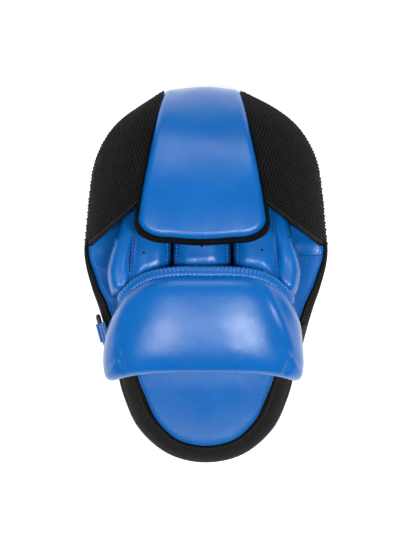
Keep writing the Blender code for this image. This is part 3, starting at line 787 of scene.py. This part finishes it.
def make_back_panel():
    """The blue leather back, soft between its seams, with a cord round it and a stitched edge."""
    lean = RIM_LEAN + MESH + GAP
    edge = inset_loop(lean)

    def high(x, y):
        return sloped_z(x, y) + SKIN + heel_puff(x, y) + folds(x, y, SIDE_FOLDS)

    outer = spread(edge, high, np.linspace(0.02, 0.965, 110))
    for drop, share in ((0.15, 0.98), (0.5, 0.994), (1.0, 1.0)):
        outer.append(plan(edge * share, high(*(edge * share).T) - drop))
    inner = spread(edge, sloped_z, np.linspace(1, 0.02, 12))
    panel = loft("back_leather", outer + inner, "blue_leather")
    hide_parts("back_panel")
    seam = inset_loop(RIM_LEAN + MESH / 2)
    path = plan(seam, sloped_z(*seam.T) + SKIN + 0.8)
    cord = sweep("back_cord", path, (0, 0, 1), 1.0, 1.0, "black_webbing", closed=True, sides=12)
    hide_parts("back_piping")
    sewn = inset_loop(lean + 3.2)
    path = plan(sewn, high(*sewn.T) + 0.1)
    stitches("back_stitching", path, (0, 0, 1), "blue_thread", closed=True)
    run = np.linspace(*SIDE_SEAM, 60)[:52] - [0, 2.2]
    path = plan(run, high(*run.T) + 0.15)
    stitches("side_stitching", path, (0, 0, 1), "blue_thread")


def make_board():
    """The firm board inside, sloping off at the sides as the back panel over it does."""
    rim = inset_loop(RIM_LEAN + MESH + LAYER)
    loops = spread(inset_loop(MESH + LAYER), lambda x, y: face_z(y) + BOARD_LOW, np.linspace(0.02, 1, 16))
    loops += spread(rim, lambda x, y: sloped_z(x, y) - LAYER, np.linspace(1, 0.02, 40))
    board = loft("hand_board", loops, "board")
    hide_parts("backing_board")


def make_wall_piping():
    """The cord over the seam between side wall and mesh."""
    path = plan(inset_loop(-1.3), RIM_Z + WALL_HEIGHT)
    cord = sweep("wall_cord", path, (0, 0, 1), 1.0, 1.0, "black_leather", closed=True, sides=12)
    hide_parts("wall_piping")


# ---- the hood
def flap_half_width(y):
    """Half the flap's width: widest at the lip, with rounded corners there."""
    share = np.clip((y - FLAP_LIP_Y) / FLAP_REACH, 0, 1)
    wide = FLAP_LIP_HALF + (FLAP_TOP_HALF - FLAP_LIP_HALF) * share**1.25
    return wide - FLAP_CORNER_WIDTH * (1 - rounded((y - FLAP_LIP_Y) / FLAP_CORNER))


def flap_surface(u, v):
    """The flap's outer face, from the lip (v 0) over to the fingertip seam (v 1)."""
    angle = FLAP_TURN * (v**1.3 * 0.75 + v * 0.25)
    y = FLAP_LIP_Y + FLAP_REACH * np.sin(angle)
    x = flap_half_width(y) * (1 - 2 * u)
    y = y + FLAP_BOW * (1 - (2 * u - 1) ** 2) ** 1.6 * (v**4 - (1 - v) ** 8)
    crown = FLAP_CROWN * (x / FLAP_LIP_HALF) ** 2 * np.cos(angle)
    return np.stack([FLAP_X + x, y, FLAP_BASE_Z + FLAP_RISE * np.cos(angle) - crown], -1)


def flap_normal(points):
    """The way out of the flap's arched face."""
    up = np.maximum(points[..., 2] - FLAP_BASE_Z, 0) / FLAP_RISE**2
    aside = 2 * FLAP_CROWN * (points[..., 0] - FLAP_X) / FLAP_LIP_HALF**2 * up
    return unit(np.stack([aside, (points[..., 1] - FLAP_LIP_Y) / FLAP_REACH**2, up], -1))


def border_shares(grid, borders):
    """How full a padded panel is at each point: 0 at an edge, 1 beyond the border's width.

    borders are the widths at the first and last row and the first and last column.
    """
    down = travelled(grid)
    across = travelled(grid, axis=1)
    full = 1.0
    for border, distance in zip(borders, (down, down[-1:] - down, across, across[:, -1:] - across)):
        full = full * rounded(distance / border)
    return full


def edge_shares(grid, edge, border):
    """How full a padded panel is at each point, by its distance to the line of its edge."""
    nearest = np.empty(grid.shape[:2])
    for k, row in enumerate(grid):
        nearest[k] = np.sqrt(((row[:, None] - edge[None]) ** 2).sum(-1).min(1))
    return rounded(nearest / border)


def pillow(grid, thickness, full, normal):
    """Outer and inner faces of a padded panel whose edges round over."""
    sink = (thickness / 2 * (1 - full))[..., None]
    return grid - normal * sink, grid - normal * (thickness - sink)


def flap_edge():
    """The flap's bound edge: up one side, round the lip and back down the other."""
    side = np.linspace(0, 1, 400) ** 2
    lip = np.linspace(0, 1, 90)[1:-1]
    edge = np.vstack([
        flap_surface(0 * side, np.linspace(1, 0, 400) ** 2),
        flap_surface(lip, 0 * lip),
        flap_surface(0 * side + 1, side),
    ])
    return spline(resample(edge, 110), 900)


def make_flap():
    """The padded leather flap, its lining underneath and the ribbed tape that binds it."""
    edge = flap_edge()
    v, u = unit_grid(200, 130)
    grid = flap_surface(u, v**1.6)
    soft = waves(grid, 11, 60, 0.35) + waves(grid, 12, 23, 0.10)
    normal = flap_normal(grid)
    outer, inner = pillow(grid, FLAP_THICKNESS, edge_shares(grid, edge, FLAP_BORDER), normal)
    flap = shell("flap_leather", outer + normal * soft[..., None], inner, "blue_leather")
    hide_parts("flap_cover", "flap_foam")

    v, u = unit_grid(60, 50, v=(0, FLAP_LINED), u=(0.02, 0.98))
    grid = flap_surface(u, v)
    lining = under_lining("flap_lining_cloth", grid, flap_normal(grid), FLAP_THICKNESS)
    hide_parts("flap_lining")

    # the tape is widest round the lip, and thins and sinks towards the fingertips
    up = unit(np.column_stack([0 * edge[:, 0], edge[:, 1] - FLAP_LIP_Y, edge[:, 2] - FLAP_BASE_Z]))
    out = unit(np.cross(up, np.gradient(edge, axis=0)))
    lip = smoothstep((FLAP_LIP_Y + 15 - edge[:, 1]) / 10)
    end = onset(edge[:, 1], FLAP_END)
    shares = np.stack([1 - lip - end, lip, end])
    half = np.array(BINDING_HALF) @ shares
    depth = np.array(BINDING_DEPTH) @ shares
    path = edge + out * (half * 0.75)[:, None] - up * (FLAP_THICKNESS / 2 + BINDING_SINK * end)[:, None]
    binding = sweep("flap_binding_tape", path, up, half, depth, "black_webbing", sides=20, rib=0.06,
                    pitch=1.5)
    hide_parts("flap_binding")


def mesh_surface(side, u, v):
    """The hood's mesh at one side: u from the flap to the rim, v from the hem upwards."""
    seam = inset_loop(-MESH - 2 * GAP - 1.4 * np.sin(math.pi * np.clip((OUTLINE[:, 1] - 50) / 90, 0, 1)))
    edge_y = HEM_INNER_Y + (MESH_TIP_Y - HEM_INNER_Y) * v
    rim_y = HEM_OUTER_Y + (MESH_TOP_Y - HEM_OUTER_Y) * v
    gap = MESH_SEAM - (MESH_SEAM - MESH_SEAM_END) * onset(edge_y, FLAP_END)
    inner_x = FLAP_X + side * (flap_half_width(edge_y) + gap)
    angle = np.arcsin(np.clip((edge_y - FLAP_LIP_Y) / FLAP_REACH, -1, 1))
    inner_z = FLAP_BASE_Z + FLAP_RISE * np.cos(angle) - FLAP_CROWN
    outer_z = face_z(rim_y) + WALL_HEIGHT + MESH_RISE
    bulge = np.clip(1 - u**1.7, 0, 1) ** 0.75
    x = inner_x + (rim_point(rim_y, side, seam) - inner_x) * u
    y = edge_y + (rim_y - edge_y) * u
    return np.stack([x, y, outer_z + (inner_z - outer_z) * bulge], -1)


def make_mesh_panels():
    """The hood's breathable sides: knitted cells in relief, and an open edge that rolls inwards."""
    for word, side in (("left", -1), ("right", 1)):
        v, u = unit_grid(300, 170, u=(-0.035, 1))
        grid = mesh_surface(side, np.abs(u), v)
        # beyond the flap's edge the mesh runs on straight, under the binding
        grid = np.where((u < 0)[..., None], 2 * mesh_surface(side, 0 * u, v) - grid, grid)
        normal = normals_of(grid)
        up = travelled(grid)
        cell = knit_cells(travelled(grid, axis=1), MESH_CELL, np.floor(up / MESH_ROW))
        valley = np.abs(np.sin(math.pi * up / MESH_ROW))
        outer = grid + normal * (MESH_RELIEF * (cell * valley) ** 0.6 - 0.7)[..., None]
        # the open edge turns under on a small radius
        down = unit(grid[0] - grid[3])
        centre = grid[0] - normal[0] * MESH_ROLL
        roll_outer = []
        roll_inner = []
        for turn in np.linspace(MESH_ROLL_TURN, 0, 9, endpoint=False):
            facing = normal[0] * math.cos(turn) + down * math.sin(turn)
            at = centre + facing * MESH_ROLL
            roll_outer.append(at + 0.25 * cell[0][:, None] * facing)
            roll_inner.append(at - facing * MESH_PLY)
        outer = np.concatenate([np.array(roll_outer), outer])
        inner = np.concatenate([np.array(roll_inner), grid - normal * MESH_PLY])
        panel = shell(f"hood_mesh_{word}", outer, inner, "black_mesh")
        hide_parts(f"mesh_panel_{word}", f"mesh_hem_{word}")


# ---- the glove
def knuckle_y(x):
    """The knuckle seam in plan: an arch that falls back at both ends."""
    return KNUCKLE_Y - KNUCKLE_DROP * (x / CUFF_WIDTHS[0][1]) ** 4


def make_lining_and_grip():
    """The knitted lining that the sleeves are sewn to, and the grip under the palm."""
    v, u = unit_grid(90, 80)
    y = LINING_FROM_Y + (LINING_TO_Y - LINING_FROM_Y) * v
    x = level(LINING_WIDTHS, y) * (1 - 2 * u)
    top = np.stack([x, y, floor_z(x, y)], -1)
    lining = shell("glove_lining_cloth", top, top - [0, 0, LINING], "black_lining")
    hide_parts("glove_lining")

    turn = turns(64)

    def ring(share, rise):
        x = GRIP_RADII[0] * share * np.cos(turn)
        y = GRIP_Y + GRIP_RADII[1] * share * np.sin(turn)
        return np.column_stack([x, y, floor_z(x, y) + GAP + rise])

    foot = 0.6
    loops = [ring(0.02, 0), ring(0.6, 0), ring(0.97, 0), ring(1.0, foot)]
    for angle in np.linspace(0.15, 1.55, 16):
        loops.append(ring(math.cos(angle), foot + (GRIP_HEIGHT - foot) * math.sin(angle)))
    grip = loft("palm_roll", loops, "black_leather")
    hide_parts("palm_grip")


def sleeve_lean(spec, v):
    """How far an outer sleeve leans in: under the cuff at its foot, and towards the fingertips."""
    if abs(spec[0]) < OUTER_SLEEVE_X:
        return 0 * v
    lean = 6.5 * np.clip(1 - v / 0.4, 0, 1) ** 2 + 14 * np.clip(v - 0.3, 0, 1) ** 1.3
    return math.copysign(1, spec[0]) * lean


def sleeve_point(spec, side, v):
    """A point of a sleeve's outer face: side from -1 (left foot) over the crown to 1, v to the tip."""
    centre, half, height, length = spec
    side = np.clip(side, -1, 1)
    sine = np.abs(side) ** (1 / 0.75)
    rise = np.sqrt(np.clip(1 - sine**2, 0, 1)) ** 0.75
    start = knuckle_y(np.clip(centre + half * side, -SLEEVE_REACH, SLEEVE_REACH)) + SLEEVE_START
    x = centre * (1 - SLEEVE_GATHER * v) + half * side * (1 - SLEEVE_NARROWING * v) - sleeve_lean(spec, v)
    y = start + length * v
    if abs(centre) > OUTER_SLEEVE_X:
        height = height * np.sqrt(1 - 0.9 * np.clip(1 - v / 0.16, 0, 1) ** 2)
    # drawn down where the sleeve is gathered into the knuckle seam
    tuck = 3.2 * np.clip(1 - v * length / 9, 0, 1) ** 2 * rise
    return np.stack([x, y, floor_z(x, y) + LAYER + height * (1 - SLEEVE_TAPER * v**2) * rise - tuck], -1)


def on_sleeve(spec, x, y):
    """The sleeve's outer point above a place in plan."""
    centre, half, _, length = spec
    x = np.asarray(x, float)
    v = (np.asarray(y, float) - knuckle_y(np.clip(x, -SLEEVE_REACH, SLEEVE_REACH)) - SLEEVE_START) / length
    middle = centre * (1 - SLEEVE_GATHER * v) - sleeve_lean(spec, v)
    side = (x - middle) / (half * (1 - SLEEVE_NARROWING * v))
    return sleeve_point(spec, side, v)


def make_vent(name, spec, x, y):
    """A vent hole: a raised rim and a near-black well, painted shade standing in for the hole's inside."""
    top = on_sleeve(spec, x, y)
    step = 0.5
    normal = unit(np.cross(on_sleeve(spec, x + step, y) - top, on_sleeve(spec, x, y + step) - top))
    first = unit(np.cross(normal, (0, 1, 0)))
    second = np.cross(normal, first)
    turn = turns(40)
    circle = first * np.cos(turn)[:, None] + second * np.sin(turn)[:, None]
    path = top + circle * 1.5 + normal * 0.3
    sweep(f"{name}_rim", path, normal, 0.35, 0.45, "vent_rim", closed=True, sides=10)
    # radius and height
    profile = ((0.1, -0.8), (1.4, -0.8), (1.4, 0.5), (0.8, 0.42), (0.1, 0.4))
    # the well is near-black, painted shade for the inside of the punched hole
    loft(f"{name}_well", [top + circle * r + normal * h for r, h in profile], "vent_shade")


def make_sleeves():
    """Five puffed sleeves, gathered at the knuckle seam, with stitch rows and a vent each."""
    # the vent's place in plan, then the stitch rows across the sleeve
    details = {
        "thumb_sleeve": (-71.0, 28.5, 0.72),
        "index_sleeve": (-48.7, 19.5, -0.80, 0.84),
        "middle_sleeve": (-3.2, 24.2, -0.88, 0.88),
        "ring_sleeve": (44.0, 21.4, -0.84, 0.80),
        "little_sleeve": (66.5, 31.3, -0.05),
    }
    for name, spec in SLEEVES.items():
        v, turn = unit_grid(110, 96, u=(-1, 1))
        side = signed_power(np.sin(turn * math.pi / 2), 0.75)
        grid = sleeve_point(spec, side, v)
        normal = normals_of(grid)
        seed = len(name) + int(spec[0]) % 7
        phase = 2 * math.pi * grid[..., 0] / PUCKER_PITCH + waves(grid, seed + 40, 20, 1.0)
        pucker = 0.16 * np.exp(-v * spec[3] / 9) * np.cos(phase)
        soft = (waves(grid, seed, 28, 0.4) + pucker) * smoothstep((1 - np.abs(side)) / 0.2)
        outer = grid + normal * soft[..., None]
        sleeve = shell(f"{name}_leather", outer, grid - normal * SLEEVE_SKIN, "blue_leather")
        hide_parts(name)
        vent_x, vent_y, *rows = details[name]
        make_vent(name.replace("sleeve", "vent"), spec, vent_x, vent_y)
        for k, at in enumerate(rows):
            v = np.linspace(0.03, 0.55, 80)
            path = sleeve_point(spec, np.full(80, at), v)
            up = unit(path - sleeve_point(spec, np.full(80, at * 0.2), v) + [0, 0, 30])
            stitches(f"{name}_stitching_{k + 1}", path + up * 0.15, up, "blue_thread", pitch=3.0, length=2.2,
                     radius=0.33)


# ---- the cuff
def cuff_surface(u, v):
    """The cuff's outer face: u from its left edge to its right, v from seam to wrist."""
    angle = math.pi * (u - 0.5)
    power = 2 / CUFF_POWER
    side = signed_power(np.sin(angle), power)
    rise = np.clip(np.cos(angle), 0, 1) ** power
    half = curve(CUFF_WIDTHS, v)
    crown = curve(CUFF_CROWNS, v)
    top_y = knuckle_y(side * CUFF_WIDTHS[0][1])
    low_y = CUFF_LOW_Y - CUFF_LOW_DROP * side**4
    x = half * side - CUFF_SHIFT * smoothstep(v / 0.6)
    return np.stack([x, top_y + (low_y - top_y) * v, CUFF_EDGE_Z + (crown - CUFF_EDGE_Z) * rise], -1)


def even_cuff(count):
    """Columns of the cuff at even distances round its arch."""
    fine = np.linspace(0, 1, 1600)
    along = travelled(cuff_surface(fine, np.full(1600, 0.5)))
    return np.interp(np.linspace(0, along[-1], count), along, fine)


def gather_sleeves(seam):
    """The sleeves' leather, gathered up from their feet to the knuckle seam."""
    x = seam[:, 0]
    foot_y = knuckle_y(x) + SLEEVE_START + 1.8
    tops = [on_sleeve(spec, x, foot_y)[:, 2] for spec in SLEEVES.values()]
    head = seam + [0, 1.8, 0.2]
    foot = np.column_stack([x, foot_y, np.minimum(np.max(tops, axis=0) + 0.4, head[:, 2] - 1)])
    share = np.linspace(0, 1, 30)[:, None, None]
    grid = head + (foot - head) * share
    phase = 2 * math.pi * x / PUCKER_PITCH + waves(seam, 23, 30, 1.0)
    grid[..., 1] += 0.5 * np.sin(math.pi * share[..., 0]) * np.cos(phase)
    shell("knuckle_gather", grid, grid - [0, 1.4, 0], "blue_leather")


def make_knuckle_seam():
    """The folded, stitched seam between sleeves and cuff, its edge drawn in by every stitch."""
    u = even_cuff(500)
    u = u[(u > 0.045) & (u < 0.955)]
    crest = cuff_surface(u, np.zeros(len(u)))
    path = spline(resample(crest + [0, -1.6, 5.2], 60), 640)
    path[:, 2] += waves(path, 21, 26, 0.3)
    path[:, 1] += waves(path, 22, 34, 0.4)
    seam = sweep("knuckle_fold", path, (0, 0.4, 1), 4.3, 1.7, "blue_leather", sides=24, rib=0.06, pitch=3.2)
    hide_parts("knuckle_seam")
    gather_sleeves(path)
    for word, shift, drop in (("near", 2.9, 0.6), ("far", -1.6, 2.2)):
        stitches(f"knuckle_stitching_{word}", path + [0, shift, drop], (0, 0, 1), "blue_thread", pitch=3.2,
                 length=2.3, radius=0.42)


def make_cuff():
    """The padded cuff, rolled at its lower lip, with its lining."""
    v, u = np.meshgrid(np.linspace(0, 1, 120), even_cuff(330), indexing="ij")
    grid = cuff_surface(u, v)
    normal = normals_of(grid)
    outer, inner = pillow(grid, CUFF_THICKNESS, border_shares(grid, CUFF_BORDERS), normal)
    soft = folds(grid[..., 0], grid[..., 1], CUFF_FOLDS) + waves(grid, 5, 60, 0.14) + waves(grid, 6, 21, 0.04)
    fade = smoothstep(v * 14) * smoothstep((1 - v) * 14)
    outer = outer + normal * (soft * fade)[..., None]
    cuff = shell("cuff_leather", outer, inner, "blue_leather", body=None)
    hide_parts("cuff_cover", "cuff_foam")
    v, u = np.meshgrid(np.linspace(0.03, 0.97, 50), even_cuff(140)[2:-2], indexing="ij")
    grid = cuff_surface(u, v)
    lining = under_lining("cuff_lining_cloth", grid, normals_of(grid), CUFF_THICKNESS, body=None)
    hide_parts("cuff_lining")
    for piece in (cuff, lining):
        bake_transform(piece)


def make_side_gore():
    """The ribbed elastic that ties the cuff's right edge to the pad's wall."""
    v, u = unit_grid(90, 60)
    y = GORE_Y - GORE_WIDTH * (0.5 - u)
    low_x = rim_point(y, 1, OUTLINE) + GORE_CLEARANCE
    low_z = face_z(y) + GORE_LOW_RISE
    x = low_x + (GORE_TOP_X - low_x) * v**2
    grid = np.stack([x, y, low_z + (CUFF_EDGE_Z + 1.5 - low_z) * v], -1)
    normal = normals_of(grid, axis=0)
    rib = 0.22 * np.cos(2 * math.pi * (y - GORE_Y) / 1.9)
    outer = grid + normal * (rib - 0.1)[..., None]
    gore = shell("gore_elastic", outer, grid - normal * SKIN, "black_webbing", body=None)
    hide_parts("side_gore")
    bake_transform(gore)


# ---- the strap
joints = {j["name"]: j for j in frame["joints"]}
HEADING = np.array(joints["ring_swing"]["axis"], float)
OUT = np.array([-HEADING[1], HEADING[0], 0.0])
TOP_BAR = np.array(joints["ring_swing"]["pos_m"], float) / MM
LOW_BAR = np.array(joints["strap_peel"]["pos_m"], float) / MM


def wall_frame(origin, along, out, up):
    """Points given by distances along the wall, out of it and up, from an origin."""
    along, out, up = np.broadcast_arrays(along, out, up)
    return origin + along[..., None] * HEADING + out[..., None] * OUT + up[..., None] * np.array([0, 0, 1.0])


def folded_strap(name, bar, tail_angle, tail, finish, body):
    """A strap folded round a bar, both plies sewn together in its tail."""
    middle = BAR_RADIUS + BAR_PLAY + STRAP_PLY / 2
    start = math.asin(STRAP_PLY / 2 / middle)
    turn = np.linspace(start, 2 * math.pi - start, 40)
    end = middle + STRAP_PLY / 2 + tail
    reach = np.linspace(end, middle * math.cos(start) + 1.2, 14)
    line = np.vstack([
        np.column_stack([reach, np.full(14, STRAP_PLY / 2)]),
        np.column_stack([middle * np.cos(turn), middle * np.sin(turn)]),
        np.column_stack([reach[::-1], np.full(14, -STRAP_PLY / 2)]),
    ])
    tangent = unit(np.gradient(line, axis=0))
    aside = np.column_stack([-tangent[:, 1], tangent[:, 0]])
    cosine = math.cos(tail_angle)
    sine = math.sin(tail_angle)

    def face(depth, across):
        flat = (line + aside * depth) @ [[cosine, sine], [-sine, cosine]]
        return wall_frame(bar, across, *flat.T)

    half = STRAP_WIDTH / 2
    # across the strap, thinner at its two pressed edges
    border = np.array([0, 0.15, 0.6])
    shifts = np.concatenate([border - half, np.linspace(-half + 1.6, half - 1.6, 12), half - border[::-1]])
    thick = STRAP_PLY * np.array([0.22, 0.39, *[0.49] * 14, 0.39, 0.22])
    outer = np.stack([face(t, s) for s, t in zip(shifts, thick)])
    inner = np.stack([face(-t, s) for s, t in zip(shifts, thick)])
    return shell(name, outer, inner, finish, body)


def rounded_plate(name, outer_face, top, thickness, height, width, finish, body, rib=0.0):
    """A flat tape beside the strap, soft at its edges, with ribs across it."""
    v, u = unit_grid(60, 60)
    up = top - height * v
    along = width * (u - 0.5)
    edge = np.minimum(np.minimum(u, 1 - u) * width, np.minimum(v, 1 - v) * height)
    soft = thickness / 2 * (1 - rounded(edge / 0.7))
    ribs = rib * np.cos(2 * math.pi * up / 1.1)
    outer = wall_frame(LOW_BAR, along, outer_face - soft - rib + ribs, up)
    inner = wall_frame(LOW_BAR, along, outer_face - thickness + soft, up)
    return shell(name, outer, inner, finish, body)


def make_strap():
    """Keeper, ring, strap and the strap's hook-and-loop fastening and tab."""
    keeper = folded_strap("keeper_leather", TOP_BAR, KEEPER_ANGLE, KEEPER_TAIL, "blue_leather", "cuff")
    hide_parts("ring_keeper")
    strap = folded_strap("strap_leather", LOW_BAR, -math.pi / 2, STRAP_TAIL, "blue_leather", "strap")
    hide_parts("closing_strap")

    straight = RING_LENGTH / 2 - BAR_RADIUS - RING_CORNER
    run = RING_HEIGHT / 2 - RING_CORNER
    turn = turns(160)
    along = np.sign(np.cos(turn).round(9)) * straight + RING_CORNER * np.cos(turn)
    up = np.sign(np.sin(turn).round(9)) * run + RING_CORNER * np.sin(turn) - RING_HEIGHT / 2
    path = resample(wall_frame(TOP_BAR, along, 0, up), 200, closed=True)
    ring = sweep("ring_plastic", path, OUT, BAR_RADIUS, BAR_RADIUS, "black_plastic", "ring",
                 closed=True, sides=20)
    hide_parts("strap_ring")

    tail_end = -(BAR_RADIUS + BAR_PLAY + STRAP_PLY + STRAP_TAIL)
    ply = -(STRAP_PLY + GAP)
    tape_top = tail_end + TAPE_HEIGHT
    hook = rounded_plate("hook_tape_pile", ply, tape_top, TAPE, TAPE_HEIGHT, STRAP_WIDTH - 2, "black_webbing",
                         "strap", rib=0.12)
    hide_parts("hook_tape")
    loop = rounded_plate("loop_patch_pile", ply - TAPE - GAP, tape_top, TAPE, TAPE_HEIGHT, STRAP_WIDTH,
                         "black_lining", "pad")
    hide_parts("loop_patch")
    tab = rounded_plate("tab_webbing", 1.2, tail_end - GAP, 2.4, 8, STRAP_WIDTH - 6, "black_webbing", "strap",
                        rib=0.15)
    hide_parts("pull_tab")
    for k, height in enumerate((tail_end + 2, tail_end + TAPE_HEIGHT + 2, -7.5)):
        path = wall_frame(LOW_BAR, np.linspace(-6, 6, 40), STRAP_PLY + 0.1, height)
        stitches(f"strap_stitching_{k + 1}", path, OUT, "blue_thread", "strap", pitch=2.8, length=2.0,
                 radius=0.3)


# ---- the studio
LIGHTS = (
    # name, place, watts, width, height
    ("strip_left", (-0.62, -0.36, 2.0), 19, 0.50, 0.76),
    ("strip_right", (0.66, -0.36, 2.0), 27, 0.15, 0.76),
    ("top_end", (0.0, 2.2, 1.7), 18, 2.0, 0.7),
)
LIT_HEIGHT = 0.08  # the lights aim at this height over the middle
CAMERA_AWAY = 2.1  # from the camera to the plane at CAMERA_PLANE
CAMERA_PLANE = 0.07
CAMERA_SPAN = 0.3295  # width of that plane in the picture
FILM = 36


def make_floor():
    """A pale floor that stays white in the picture."""
    size = 4.0
    mesh = bpy.data.meshes.new("floor")
    corners = [(-size, -size), (size, -size), (size, size), (-size, size)]
    mesh.from_pydata([(x, y, -0.0005) for x, y in corners], [], [(0, 1, 2, 3)])
    floor = place("floor", mesh)
    paint = bpy.data.materials.new("floor_paint")
    paint.use_nodes = True
    set_inputs(paint.node_tree.nodes["Principled BSDF"], Base_Color=(0.9, 0.9, 0.9, 1), Roughness=0.9,
               Emission_Color=(1, 1, 1, 1), Emission_Strength=0.75)
    mesh.materials.append(paint)


def make_studio():
    """Soft light and the camera straight above."""
    world = bpy.data.worlds.new("studio")
    world.use_nodes = True
    set_inputs(world.node_tree.nodes["Background"], Color=(1, 1, 1, 1), Strength=0.07)
    bpy.context.scene.world = world

    for name, at, power, width, height in LIGHTS:
        lamp = bpy.data.lights.new(name, "AREA")
        lamp.shape = "RECTANGLE"
        lamp.size = width
        lamp.size_y = height
        lamp.energy = power
        made = place(name, lamp)
        made.location = at
        aim = Vector((0, 0, LIT_HEIGHT)) - Vector(at)
        made.rotation_euler = aim.to_track_quat("-Z", "Y").to_euler()
        made.visible_camera = False

    camera = bpy.data.cameras.new("camera")
    camera.sensor_fit = "HORIZONTAL"
    camera.sensor_width = FILM
    camera.lens = FILM * CAMERA_AWAY / CAMERA_SPAN
    made = place("camera", camera)
    made.location = (0.0016, 0.0016, CAMERA_AWAY + CAMERA_PLANE)
    bpy.context.scene.camera = made
    bpy.context.scene.view_settings.view_transform = "Standard"


# ---- assembly
make_pad_shell()
make_target()
make_gusset()
make_wall_piping()
make_board()
make_back_panel()
make_lining_and_grip()
make_sleeves()
make_knuckle_seam()
make_flap()
make_mesh_panels()
make_cuff()
make_side_gore()
make_strap()
for node in ("strike_foam", "shock_foam"):
    frame["nodes"][node].data.materials.clear()
    frame["nodes"][node].data.materials.append(FINISHES["foam"])
make_floor()
make_studio()
